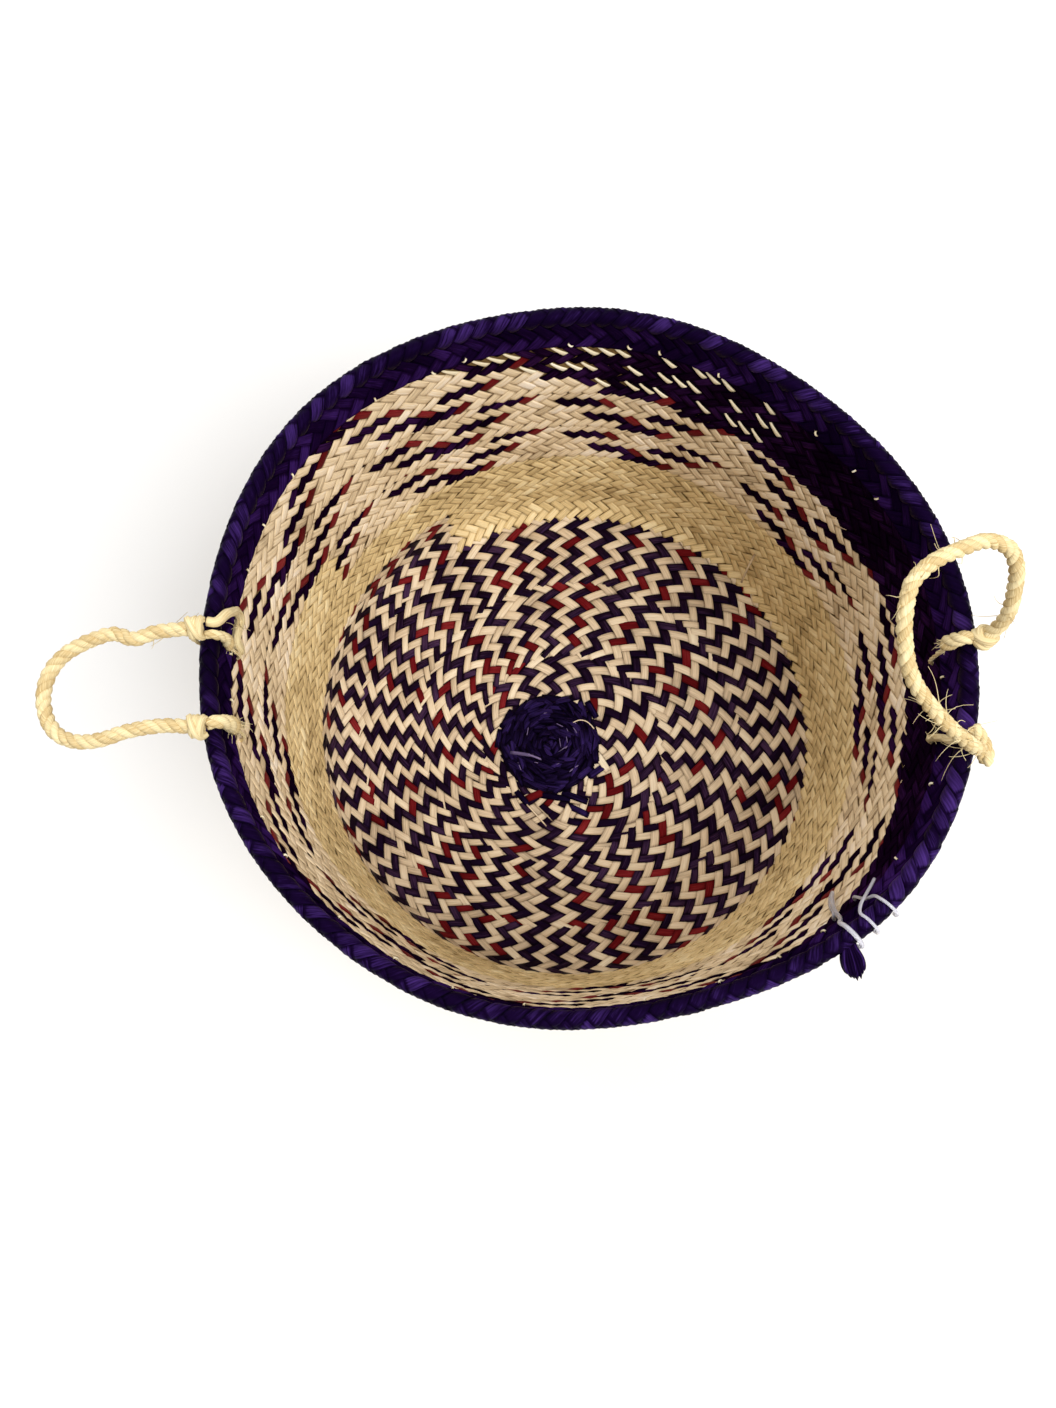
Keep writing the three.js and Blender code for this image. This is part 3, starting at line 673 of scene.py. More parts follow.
# The rim isn't quite round: waves round it, each with its reach in millimetres and its angle
RIM_LOBES = ((2, 4.3, -13), (3, 1.8, -12), (4, 0.85, -35), (6, 1, 19))
HALF_PLAIT = 1.5
COIL_RADIUS, COIL_TURNS, COIL_SHIFT, START_RADIUS = 31, 4, (-12, -9), 7
RIM_BAND, RIM_ROLL_RADIUS, RIM_SHOULDER = 24, 4.2, 13
corner_start = BASE_RADIUS - CORNER_RADIUS
rim_across, rim_up = RIM_RADIUS - corner_start, HEIGHT - HALF_PLAIT - CORNER_RADIUS
flare = math.acos(CORNER_RADIUS / math.hypot(rim_across, rim_up)) - math.atan2(rim_up, rim_across)
corner_turn = math.pi / 2 - flare
corner_length = CORNER_RADIUS * corner_turn
wall_length = math.sqrt(rim_across**2 + rim_up**2 - CORNER_RADIUS**2)
rim_top = corner_start + corner_length + wall_length
rim_seam = rim_top - RIM_BAND


def place(arc, angle, inwards):
    """Points in metres, from millimetres along the outline, degrees round it and millimetres inwards."""
    bend = np.clip((arc - corner_start) / CORNER_RADIUS, 0, corner_turn)
    up = np.maximum(arc - corner_start - corner_length, 0)
    height = (HALF_PLAIT + CORNER_RADIUS * (1 - np.cos(bend)) + up * np.sin(bend)
              + inwards * np.cos(bend))
    level = np.minimum(arc, corner_start) + CORNER_RADIUS * np.sin(bend) + up * np.cos(bend)
    lobes = sum(reach * np.cos(count * np.radians(angle - at)) for count, reach, at in RIM_LOBES)
    radius = level - inwards * np.sin(bend) + up / wall_length * lobes
    shift = np.clip((corner_start - arc) / (corner_start - COIL_RADIUS), 0, 1)
    x = radius * np.cos(np.radians(angle)) + COIL_SHIFT[0] * shift
    y = radius * np.sin(np.radians(angle)) + COIL_SHIFT[1] * shift
    return np.stack(np.broadcast_arrays(x, y, height), -1) * MM


print("rim top:", round(rim_top, 1), "mm along the outline")
print("flare of the wall:", round(math.degrees(flare), 1), "degrees")

# %% The spiral
# Turns run clockwise from JOG_ANGLE. Near the rim the seam climbs in one jog at the end of each turn
TURNS_ON_BASE, TURNS_IN_ALL, JOG_ANGLE = 2.3, 7, 300
JOG_SHARE, JOG_START, JOG_TURNS, TOP_TURN_RISE = 0.7, 0.8, 3, 9
PATTERN_END, NATURAL_END, STRIPED_END, SHOULDER_END = 3.5, 5.42, 7.61, 7.991
turn_width = (rim_seam - TOP_TURN_RISE - corner_start) / (TURNS_IN_ALL - TURNS_ON_BASE)


def seam(turn):
    """How far along the outline the seam lies after so many turns."""
    whole = np.floor(turn)
    part = turn - whole
    share = JOG_SHARE * np.clip((whole + 1 - TURNS_IN_ALL) / JOG_TURNS + 1, 0, 1)
    step = np.maximum((part - JOG_START) / (1 - JOG_START), 0)
    top_step = TOP_TURN_RISE / turn_width * (whole == TURNS_IN_ALL - 1)
    level = whole + (1 - share) * part + (share + top_step) * step**2
    on_base = COIL_RADIUS + (corner_start - COIL_RADIUS) * level / TURNS_ON_BASE
    on_wall = corner_start + turn_width * (level - TURNS_ON_BASE)
    return np.where(turn >= TURNS_IN_ALL, rim_seam, np.where(level < TURNS_ON_BASE, on_base, on_wall))


def angle_at(turn):
    """Degrees round the basket after so many turns."""
    return JOG_ANGLE - 360 * turn


def coil_edge(turn):
    """How far the wound coil reaches after so many of its turns."""
    return START_RADIUS + (COIL_RADIUS - START_RADIUS) * turn / COIL_TURNS


def lower_edge(turn):
    """The plait's edge towards the middle of the base: the coil at first, then the turn before."""
    return np.where(turn < 1, coil_edge(COIL_TURNS - 1 + turn), seam(np.maximum(turn - 1, 0)))


print("seams at 0 degrees:", [round(float(seam(turn - 1 / 6))) for turn in range(1, 8)])

# %% [markdown]
# ## One strip of the weave
#
# Every strip comes up between its neighbours, passes over two of them and goes down again. What shows
# of it is a small slanted shape with a crown along its middle. It is modelled once, as a grid whose ends
# dip under and whose sides drop, and then laid thousands of times on the bowl.

# %% Model the strip
# Places are shares of the strip's length and width, and heights are millimetres
STRIP_STEPS_ALONG, STRIP_STEPS_ACROSS = 6, 5
STRIP_PLACES_ACROSS = (-0.5, -0.46, -0.2, 0.2, 0.46, 0.5)
STRIP_OVERRUN = 1.18
STRIP_RISE, STRIP_DIP_AT = 0.55, 0.52
STRIP_CROWN = 0.12
STRIP_SIDE_DROP = 0.5
# How strongly painted shade darkens a strip towards its ends and sides
EDGE_SHADE = 1.3
bpy.ops.mesh.primitive_grid_add(x_subdivisions=STRIP_STEPS_ALONG, y_subdivisions=STRIP_STEPS_ACROSS,
                                size=1)
strip_model = bpy.context.object
strip_points = np.array([vertex.co for vertex in strip_model.data.vertices])
strip_faces = np.array([list(polygon.vertices) for polygon in strip_model.data.polygons])
bpy.data.objects.remove(strip_model)
strip_along = strip_points[:, 0] * STRIP_OVERRUN
strip_row = np.rint((strip_points[:, 1] + 0.5) * STRIP_STEPS_ACROSS).astype(int)
strip_across = np.array(STRIP_PLACES_ACROSS)[strip_row]
strip_edge = np.isin(strip_row, (0, STRIP_STEPS_ACROSS))
strip_lift = (STRIP_RISE * (1 - np.abs(strip_along / STRIP_DIP_AT) ** 3)
              - STRIP_CROWN * (2 * strip_across) ** 2 - STRIP_SIDE_DROP * strip_edge)
# Painted shade darkens each strip towards its ends and sides, where it goes under its neighbours
side_shade = np.interp(np.abs(strip_across), (0.2, 0.46, 0.5), (0, 0.18, 1))
end_shade = np.interp(np.abs(strip_along), (0.3, 0.4, 0.59), (0, 0.06, 1))
strip_shade = EDGE_SHADE * np.maximum(side_shade, end_shade)
print("strip:", len(strip_points), "points,", len(strip_faces), "faces")


# %% Lay single strips
# Each strip takes its lines from another part of the pattern, which is this many millimetres wide
LEAF_REACH = 500


def slanted_strip(row, slant, width):
    """A strip's points in a plait: the strips passed from its middle, and the rows from the edge."""
    sideways = strip_across * width / 2
    return slant * (strip_along - sideways), row + 0.5 + strip_along + sideways


def add_strips(mesh, points, kinds, tones, turned, width, length):
    """Adds laid strips: their points, one material and one tone each, turned over where asked."""
    count = len(points)
    strips = np.stack([strip_across * width, strip_along * length], -1)[None]
    strips = strips + rng.uniform(0, LEAF_REACH, (count, 1, 2))
    faces = np.where(np.broadcast_to(turned, count)[:, None, None], strip_faces[:, ::-1], strip_faces)
    corners = faces + len(strip_points) * np.arange(count)[:, None, None]
    # Each tone is lowered by strip_shade: painted shade at the strip's ends and sides
    mesh.add(points.reshape(-1, 3), strips.reshape(-1, 2), (tones[:, None] - strip_shade).ravel(),
             corners.reshape(-1, 4).tolist(), np.repeat(np.broadcast_to(kinds, count), len(strip_faces)))


def add_loose_strips(mesh, middles, along, across, up, kinds, lift=1.0):
    """Strips with free places: a middle, a length, a width and an upward direction each, in metres."""
    lifted = MM * lift * strip_lift[:, None] * up[:, None]
    points = (middles[:, None] + strip_along[:, None] * along[:, None]
              + strip_across[:, None] * across[:, None])
    turned = np.einsum("ij,ij->i", np.cross(along, across), up) < 0
    tones = rng.uniform(0, 1, len(middles))
    width, length = (np.linalg.norm(side, axis=-1).mean() / MM for side in (across, along))
    add_strips(mesh, points + lifted, kinds, tones, turned, width, length)


# %% [markdown]
# ## Laying the weave
#
# A plait is a twill. Two families of strips cross it on a slant: the falling ones show in the even rows
# of its inner face and the rising ones in the odd rows, and outside it is the other way round. Each
# strip keeps its colour as it comes up again two rows further, and that alone makes the zigzags and the
# V shapes. Where two turns meet, one edge lies on top and the other is tucked under it: inside, each
# turn covers the one below, and outside the one above.

# %% The weave
NATURAL, PURPLE, RED, UNDER, SLIVER, DULL_PURPLE = range(6)
FALLING, RISING = -1, 1
FACE_LIFT, UNDERSIDE_LIFT = 1.3, 0.6
EDGE_OVERLAP = 2.0
EDGE_RAISE, EDGE_RAISE_ROWS = 0.45, 0.9
TUCK_DEPTH = 1.5
TUCK_LENGTH = 3.0
LEAST_SHOWING = 0.8
SLIVER_WIDTH = 0.4
# Widths, lifts and ways along the plait are in strips or millimetres, and each strip strays a little
STRIP_START, STRIP_WIDTH, STRIP_SIZE = 0.75, 0.98, (5, 10)
SWAY_SPREAD, WIDTH_SPREAD, LIFT_SPREAD = 0.04, 0.05, 0.07
STRAND_TONE, STRIP_TONE = 0.6, 0.4
TURN_SAMPLES, SAMPLE_MARGIN, END_MARGIN = 4000, 0.02, 0.012
# One row for the strands of each family, which take every seventh number
LUCK_SIZE, LUCK_STEP, LUCK_START = (2, 600), 7, 3
strand_luck = rng.random(LUCK_SIZE)
print("strands with a tone of their own:", strand_luck.size)


def luck_of(strands, slant):
    """A fixed random number for each strand of a family."""
    return strand_luck[(slant + 1) // 2, (strands * LUCK_STEP + LUCK_START) % LUCK_SIZE[1]]


def face_lift(arc, inner):
    """How far a face lies from the plait's middle: less under the base, which stands on the floor."""
    if inner:
        return FACE_LIFT
    return np.interp(arc, (corner_start, corner_start + corner_length), (UNDERSIDE_LIFT, FACE_LIFT))


def on_plait(turn, height, row_height, lift, inner):
    """A place on one face of a plait, by rows from the edge that lies on top."""
    low, high = lower_edge(turn), seam(turn)
    from_edge = height * row_height - EDGE_OVERLAP
    arc = low + from_edge if inner else high - from_edge
    under = np.clip((from_edge - (high - low)) / TUCK_LENGTH + 0.5, 0, 1)
    raised = (EDGE_RAISE * np.clip(1 - height / EDGE_RAISE_ROWS, 0, 1)
              - TUCK_DEPTH * under**2 * (3 - 2 * under))
    side = 1 if inner else -1
    return place(arc, angle_at(turn), side * (face_lift(arc, inner) + lift + raised))


def lay_plait(mesh, inner, span, row_height, count_at, colour_of, slant_shift):
    """Lays the strips of one plait on one face. count_at gives the strips passed after so many turns."""
    turns = np.linspace(span[0] - SAMPLE_MARGIN, span[1] + SAMPLE_MARGIN, TURN_SAMPLES)
    turn_at = lambda count: np.interp(-count, count_at(turns), turns)
    first, last = -count_at(np.array(span[::-1], float))
    widest = (seam(turns) - lower_edge(turns)).max() + EDGE_OVERLAP - LEAST_SHOWING
    starts = {FALLING: STRIP_START, RISING: -STRIP_START - slant_shift}
    for row in range(math.ceil(widest / row_height)):
        slant = FALLING if (row % 2 == 0) == inner else RISING
        offset = slant * row + starts[slant]
        strands = np.arange(math.ceil(first - offset), math.floor(last - offset) + 1)
        middle_turns = turn_at(strands + offset)
        room = seam(middle_turns) - lower_edge(middle_turns) + EDGE_OVERLAP - LEAST_SHOWING
        strands = strands[row * row_height < room]
        if len(strands) == 0:
            continue
        kinds = colour_of(strands, turn_at(strands + offset), row, slant)
        sway = rng.normal(0, SWAY_SPREAD, (len(strands), 1))
        width = STRIP_WIDTH + rng.normal(0, WIDTH_SPREAD, (len(strands), 1))
        width = np.where(kinds[:, None] == SLIVER, SLIVER_WIDTH * (1 - strip_along), width)
        passed, height = slanted_strip(row, slant, width)
        count = (strands + offset)[:, None] + passed + sway
        turn = np.clip(turn_at(count), span[0] - END_MARGIN, span[1] + END_MARGIN)
        lift = strip_lift + rng.normal(0, LIFT_SPREAD, (len(strands), 1))
        points = on_plait(turn, height, row_height, lift, inner)
        tones = STRAND_TONE * luck_of(strands, slant) + STRIP_TONE * rng.random(len(strands))
        add_strips(mesh, points, kinds, tones, (slant == FALLING) == inner, *STRIP_SIZE)


# %% The layer under the strips
UNDER_INSIDE, UNDER_OUTSIDE = 0.8, -0.2
UNDER_STEPS, UNDER_ACROSS = 120, 8
TURN_LENGTH = 900
UNDER_TONE = 0.5


def add_under_layer(mesh, span):
    """A closed, thin band between the two faces, so that no gap shows through the plait."""
    steps = int((span[1] - span[0]) * UNDER_STEPS)
    turn = np.linspace(span[0], span[1], steps)[:, None]
    share = np.linspace(0.0, 1.0, UNDER_ACROSS)
    shares = np.concatenate([share, share[::-1]])[None]
    sides = np.repeat((UNDER_INSIDE, UNDER_OUTSIDE), UNDER_ACROSS)[None]
    arc = lower_edge(turn) + (seam(turn) - lower_edge(turn)) * shares
    points = place(arc, angle_at(turn), sides)
    strips = np.stack(np.broadcast_arrays(arc, turn * TURN_LENGTH), -1)
    faces = tube_faces(steps, 2 * UNDER_ACROSS)[:-2]
    # The band takes the darker leaf of UNDER: painted shade where the strips leave gaps
    mesh.add(points.reshape(-1, 3), strips.reshape(-1, 2), UNDER_TONE, faces, UNDER)


# %% Colours of the strips
RED_SHARE = 0.19
STRAY_SHARE = 0.03
MOTIF = (RED, PURPLE, PURPLE, PURPLE) + (NATURAL,) * 10
SHOULDER_EDGE, SHOULDER_SLANT = 7.6, 0.0165
SLIVERS_END, SHOULDER_REDS_END = 7.695, 7.64
SLIVER_GROUP = np.array((True, True, True, False, True, False, False))


print("dyed strips in a motif:", len(MOTIF) - MOTIF.count(NATURAL), "of", len(MOTIF))


def zigzag_colour(strands, turns, row, slant):
    """Every other strip is dyed, and some of the dyed ones are red."""
    dyed = np.where(rng.random(len(strands)) < RED_SHARE, RED, PURPLE)
    kinds = np.where(strands % 2 == 0, dyed, NATURAL)
    return np.where(rng.random(len(strands)) < STRAY_SHARE, NATURAL, kinds)


def natural_colour(strands, turns, row, slant):
    """No strip is dyed."""
    return np.full(len(strands), NATURAL)


def shoulder_colour(strands, turns, row, slant):
    """Purple, with groups of narrow natural strips where the shoulder begins."""
    in_group = SLIVER_GROUP[(strands + 2 * row) % len(SLIVER_GROUP)]
    sliver = (slant == RISING) & (turns < SLIVERS_END) & in_group
    motif_red = strands % len(MOTIF) == MOTIF.index(RED)
    red = (slant == FALLING) & (turns < SHOULDER_REDS_END) & motif_red
    return np.where(sliver, SLIVER, np.where(red, RED, PURPLE))


def motif_colour(strands, turns, row, slant):
    """Four dyed strips in fourteen, one red and three purple, up to the slanted edge of the shoulder."""
    motif = np.array(MOTIF)[strands % len(MOTIF)]
    past = turns > SHOULDER_EDGE - SHOULDER_SLANT * row
    return np.where(past, shoulder_colour(strands, turns, row, slant), motif)


# %% The plaits of the base and the wall
BASE_ROW, BASE_PITCH = 5.58, 8.5
WALL_ROW, WALL_STRIPS, WALL_PHASE, WALL_SHIFT = 6.7, 126.6, 13.02, -3
# The count goes on below the first turn, so that the strips at the plait's start have a place
EARLY_STRIPS = 20
SPIRAL_TURNS, SPIRAL_SAMPLES = 8, 6000
spiral_turns = np.linspace(0, SPIRAL_TURNS, SPIRAL_SAMPLES)
spiral_middle = (lower_edge(spiral_turns) + seam(spiral_turns)) / 2
spiral_run = run_along(place(spiral_middle, angle_at(spiral_turns), 0) / MM)


def base_count(turn):
    """Strips passed on the base, at even distances along the plait."""
    return np.interp(turn, spiral_turns, spiral_run) / BASE_PITCH + np.minimum(turn, 0) * EARLY_STRIPS


def wall_count(turn):
    """Strips passed on the wall, as many in every turn."""
    return WALL_STRIPS * turn + WALL_PHASE


# Leaves in the order of the colours' numbers; the fourth, for the layer under the strips, is painted shade
WOVEN = [NATURAL_LEAF, DEEP_LEAF, RED_LEAF, SHADED_LEAF, FRESH_LEAF]
WOVEN_BASE = [PALE_LEAF, PURPLE_LEAF, RED_LEAF, SHADED_PURPLE, FRESH_LEAF]
WOVEN_DARK = [PALE_LEAF, DEEP_LEAF, RED_LEAF, SHADED_PURPLE, FRESH_LEAF]
WOVEN_RIM = [PALE_LEAF, RIM_LEAF, RED_LEAF, SHADED_PURPLE, FRESH_LEAF, RIM_INNER_LEAF]
WOVEN_STRIPED = [SUNNED_LEAF, DEEP_LEAF, RED_LEAF, SHADED_LEAF, FRESH_LEAF]
# For each plait: its node, its turns, its row height, its count and its colours, how far its two families
# are shifted, its slot and its leaves
PLAITS = [
    ("base_plait", (0.001, PATTERN_END), BASE_ROW, base_count, zigzag_colour, 0,
     "patterned_palm", WOVEN_BASE),
    ("lower_wall_plait", (PATTERN_END, NATURAL_END), WALL_ROW, wall_count, natural_colour, WALL_SHIFT,
     "natural_palm", WOVEN),
    ("upper_wall_plait", (NATURAL_END, STRIPED_END), WALL_ROW, wall_count, motif_colour, WALL_SHIFT,
     "striped_palm", WOVEN_STRIPED),
    ("shoulder_plait", (STRIPED_END, SHOULDER_END), WALL_ROW, wall_count, shoulder_colour, WALL_SHIFT,
     "purple_palm", WOVEN_DARK),
]
for plait_name, span, row_height, count_at, colour_of, slant_shift, slot, leaves in PLAITS:
    for face_name, inner in (("inside", True), ("outside", False)):
        woven = Mesh()
        if inner:
            add_under_layer(woven, span)
        lay_plait(woven, inner, span, row_height, count_at, colour_of, slant_shift)
        woven.piece(f"{plait_name}_{face_name}", leaves, "basket", slot, [plait_name])

# %% [markdown]
# ## The rim
#
# The last plait is wider and folded over the edge, so its rows run up the inner face, over a small roll
# and down again outside. Its outline is a line of its own, and the same strips are laid along it.

# %% Outline of the folded rim
RIM_ROWS, RIM_INNER_ROWS = 5, 2
RIM_STRIPS = 118
RIM_LIFT = 0.8
RIM_SHIFT = -0.045
RIM_EDGE_RAISE, RIM_OUTER_EDGE, ROLL_STEPS = 0.6, 1, 25
SMOOTHING = (-3.0, -1.5, 0, 1.5, 3.0)
roll_lean = np.radians(np.linspace(0, 180, ROLL_STEPS))
rim_outline = np.vstack([
    [[rim_seam - EDGE_OVERLAP, HALF_PLAIT + RIM_EDGE_RAISE], [rim_top - RIM_SHOULDER, HALF_PLAIT]],
    np.stack([rim_top - RIM_ROLL_RADIUS + RIM_ROLL_RADIUS * np.sin(roll_lean),
              RIM_ROLL_RADIUS * np.cos(roll_lean)], -1),
    [[rim_top - RIM_SHOULDER, -HALF_PLAIT], [rim_seam + RIM_OUTER_EDGE, -HALF_PLAIT]],
])
outline_run = run_along(rim_outline)


def rim_line(share):
    """The outline's point and its outward direction, smoothed over a few millimetres."""
    run = share * outline_run[-1]
    at = lambda d: np.stack([np.interp(run + d, outline_run, rim_outline[:, k]) for k in (0, 1)], -1)
    near = [at(d) for d in SMOOTHING]
    ahead = near[-1] - near[0]
    out = np.stack([-ahead[..., 1], ahead[..., 0]], -1)
    return sum(near) / len(near), unit(out)


def rim_face(turn, share, lift):
    """Places on the folded rim, by turns round it, its share of the outline and millimetres outwards."""
    point, out = rim_line(share)
    raised = point + out * lift[..., None]
    return place(raised[..., 0], angle_at(turn), raised[..., 1])


print("rim outline:", round(outline_run[-1], 1), "mm in", RIM_ROWS, "rows")

# %% The folded rim plait
CORE_STEPS, CORE_ACROSS, CORE_LIFT, CORE_SIZE = 180, 40, -0.35, (60, 1000)
RIM_STRIP_WIDTH, RIM_WIDTH_SPREAD, RIM_LIFT_SPREAD, RIM_STRIP_SIZE = 0.99, 0.03, 0.08, (7, 13)
rim = Mesh()
# The core under the strips takes the darker leaf: painted shade in the gaps between them
core_turn, core_share = np.meshgrid(np.linspace(0, 1, CORE_STEPS), np.linspace(0, 1, CORE_ACROSS),
                                    indexing="ij")
core_points = rim_face(core_turn, core_share, np.full(core_turn.shape, CORE_LIFT))
core_strips = np.stack([core_share * CORE_SIZE[0], core_turn * CORE_SIZE[1]], -1)
rim.add(core_points.reshape(-1, 3), core_strips.reshape(-1, 2), UNDER_TONE,
        tube_faces(CORE_STEPS, CORE_ACROSS)[:-2], UNDER)
for row in range(RIM_ROWS):
    slant = FALLING if row % 2 == 0 else RISING
    middles = np.arange(RIM_STRIPS) + slant * (row - STRIP_START)
    width = RIM_STRIP_WIDTH + rng.normal(0, RIM_WIDTH_SPREAD, (RIM_STRIPS, 1))
    passed, height = slanted_strip(row, slant, width)
    lift = RIM_LIFT * strip_lift + rng.normal(0, RIM_LIFT_SPREAD, (RIM_STRIPS, 1))
    turn = -(middles[:, None] + passed) / RIM_STRIPS
    points = rim_face(turn, np.clip(height / RIM_ROWS + RIM_SHIFT, 0, 1), lift)
    leaf = DULL_PURPLE if row < RIM_INNER_ROWS else PURPLE
    add_strips(rim, points, leaf, rng.random(RIM_STRIPS), slant == FALLING, *RIM_STRIP_SIZE)
rim.piece("rim_plait_woven", WOVEN_RIM, "basket", "purple_palm", ["rim_plait"])

# %% [markdown]
# ## The wound coil
#
# The spiral starts from a dark boss: purple strips wound flat round a small button and sewn through, so
# that only short, crooked lengths of each show. They are laid ring by ring on a bevelled disc, the outer
# rings a little lower, and each strip is turned a little out of line. Loose strips lie round the boss,
# where the plait begins, and each of those has a listed place.

# %% The disc under the coil
BOSS_EDGE, BOSS_LOW, BOSS_TOP, BOSS_DOME = 30.2, 0.6, 4.1, 0.9
BOSS_SIDES, BOSS_BEVEL = 72, 0.8
UP, DOWN = np.array((0, 0, 1.0)), np.array((0, 0, -1.0))
coil_middle = np.array((*COIL_SHIFT, 0))


def disc(radius, low, high):
    """A bevelled disc in the middle of the coil: its points in metres and its faces."""
    middle = (*(coil_middle[:2] * MM), (low + high) / 2 * MM)
    bpy.ops.mesh.primitive_cylinder_add(vertices=BOSS_SIDES, radius=radius * MM, depth=(high - low) * MM,
                                        location=middle)
    model = bpy.context.object
    bpy.ops.object.transform_apply(location=True)
    bevel = model.modifiers.new("bevel", "BEVEL")
    bevel.width = BOSS_BEVEL * MM
    bevel.segments = 2
    bpy.ops.object.modifier_apply(modifier=bevel.name)
    points = np.array([vertex.co for vertex in model.data.vertices])
    faces = [list(polygon.vertices) for polygon in model.data.polygons]
    bpy.data.objects.remove(model)
    return points, faces


def level_directions(lean):
    """Level directions at the given angles, and those a quarter turn further."""
    flat = 0 * lean
    return (np.stack([np.cos(lean), np.sin(lean), flat], -1),
            np.stack([-np.sin(lean), np.cos(lean), flat], -1))


# %% Strips wound round the coil
BOSS_RING, BOSS_LENGTH, BOSS_WIDTHS, BOSS_LIFT = 2.6, 11.5, (2.4, 4.6), 2.2
# A strip takes up part of its length in its ring, and strips near the middle are shorter
RING_SHARE, LEAST_IN_RING, SHORT_WITHIN, SHORTEST = 0.6, 4, 12, 0.2
LEAN_SPREAD, ASKEW_SPREAD, REACH_SPREAD, LEVEL_SPREAD = 0.05, 0.3, 0.35, 0.25
SLOPE, SLOPE_SPREAD = 0.15, 0.3
UNDERSIDE_SLOPE, UNDERSIDE_LEVEL = -0.1, 0.45


def add_wound_strips(mesh, first, last, top):
    """Rings of short strips on the upper or the lower side of the coil."""
    for radius in np.arange(first, last, BOSS_RING):
        count = max(LEAST_IN_RING, int(2 * math.pi * radius / (RING_SHARE * BOSS_LENGTH)))
        lean = 2 * math.pi * (np.arange(count) + rng.random()) / count
        lean = lean + rng.normal(0, LEAN_SPREAD, count)
        outwards, ahead = level_directions(lean)
        askew = rng.normal(0, ASKEW_SPREAD, (count, 1))
        width = rng.uniform(*BOSS_WIDTHS, (count, 1))
        slope = rng.normal(SLOPE, SLOPE_SPREAD, (count, 1)) if top else UNDERSIDE_SLOPE
        length = BOSS_LENGTH * min(1, radius / SHORT_WITHIN + SHORTEST)
        along = length * (np.cos(askew) * ahead + np.sin(askew) * outwards)
        across = width * (np.cos(askew) * outwards - np.sin(askew) * ahead - slope * UP)
        level = BOSS_TOP + BOSS_DOME * (1 - (radius / BOSS_EDGE) ** 2) if top else UNDERSIDE_LEVEL
        reach = radius + rng.normal(0, REACH_SPREAD, (count, 1))
        middles = coil_middle + reach * outwards + UP * (level + rng.normal(0, LEVEL_SPREAD, (count, 1)))
        add_loose_strips(mesh, middles * MM, along * MM, across * MM,
                         np.tile(UP if top else DOWN, (count, 1)), PURPLE, BOSS_LIFT if top else 1)


# %% The coil and its button
BOSS_LEAVES = [PALE_LEAF, COIL_LEAF, RED_LEAF, SHADED_PURPLE, FADED_AND_GLINT_LEAF]
# For each: the node, the first and the last ring of strips, and the radius and the top of the disc
BOSSES = [
    ("start_knot", 1.2, START_RADIUS, START_RADIUS, BOSS_TOP + 0.6),
    ("centre_coil", START_RADIUS, BOSS_EDGE - 1.5, BOSS_EDGE, BOSS_TOP),
]
for boss_node, first_ring, last_ring, core_radius, core_top in BOSSES:
    boss = Mesh()
    # The disc takes the darker leaf: painted shade in the gaps between the wound strips
    core_points, core_faces = disc(core_radius, BOSS_LOW, core_top)
    boss.add(core_points, core_points[:, :2] / MM, UNDER_TONE, core_faces, UNDER)
    for top in (True, False):
        add_wound_strips(boss, first_ring, last_ring, top)
    boss.piece(f"{boss_node}_wound", BOSS_LEAVES, "basket", "purple_palm", [boss_node])

# %% Loose strips round the coil
# Each one: its middle, its height, its direction in degrees, its length and width, and its colour
LOOSE_STRIPS = [
    (-29, -16, 6.2, -8, 12, 2.2, SLIVER), (-22, -17.5, 6.2, -20, 10, 1.2, SLIVER),
    (20, -21, 4.2, -58, 11, 4.2, NATURAL), (17, -26, 4.2, 35, 12, 4.0, PURPLE),
    (-34, -35, 3.9, 105, 10, 4.4, NATURAL), (-30, -41, 3.8, -48, 13, 3.6, PURPLE),
    (-21, -41, 3.9, 22, 10, 4.4, RED), (-9, -42, 4.0, -8, 16, 3.8, PURPLE),
    (3, -42, 4.1, -20, 14, 4.0, PURPLE), (12, -36, 4.2, 82, 9, 3.6, NATURAL),
    (-2, -52, 3.7, 70, 10, 4.2, NATURAL), (5, -50, 3.7, -25, 12, 3.8, PURPLE),
    (-20, -53, 4.2, -48, 15, 0.8, NATURAL), (-16, -51, 4.2, -45, 13, 0.7, NATURAL),
    (14, 12, 4.2, 118, 10, 4.0, PURPLE), (-38, 6, 4.2, 62, 11, 4.0, PURPLE),
    (-43, -6, 4.0, 80, 10, 3.6, PURPLE),
]
# Short pale strips all over the coil are painted glints: highlights drawn as strips of a light violet leaf
COIL_GLINTS, GLINT_REACH, GLINT_LENGTH, GLINT_WIDTH = 16, (6, 27), (4, 7), 0.5
GLINT_TURN, GLINT_TOP, GLINT_FALL = (65, 115), 6.1, 30
for _ in range(COIL_GLINTS):
    reach, lean = rng.uniform(*GLINT_REACH), rng.uniform(0, 2 * math.pi)
    LOOSE_STRIPS.append((
        COIL_SHIFT[0] + reach * math.cos(lean), COIL_SHIFT[1] + reach * math.sin(lean),
        GLINT_TOP - reach / GLINT_FALL, math.degrees(lean) + rng.uniform(*GLINT_TURN),
        rng.uniform(*GLINT_LENGTH), GLINT_WIDTH, SLIVER))
loose = np.array([entry[:6] for entry in LOOSE_STRIPS])
loose_along, loose_across = level_directions(np.radians(loose[:, 3]))
slivers = Mesh()
add_loose_strips(slivers, loose[:, :3] * MM, loose_along * loose[:, 4:5] * MM,
                 loose_across * loose[:, 5:6] * MM, np.tile(UP, (len(loose), 1)),
                 np.array([entry[6] for entry in LOOSE_STRIPS]))
print("loose strips:", len(loose))

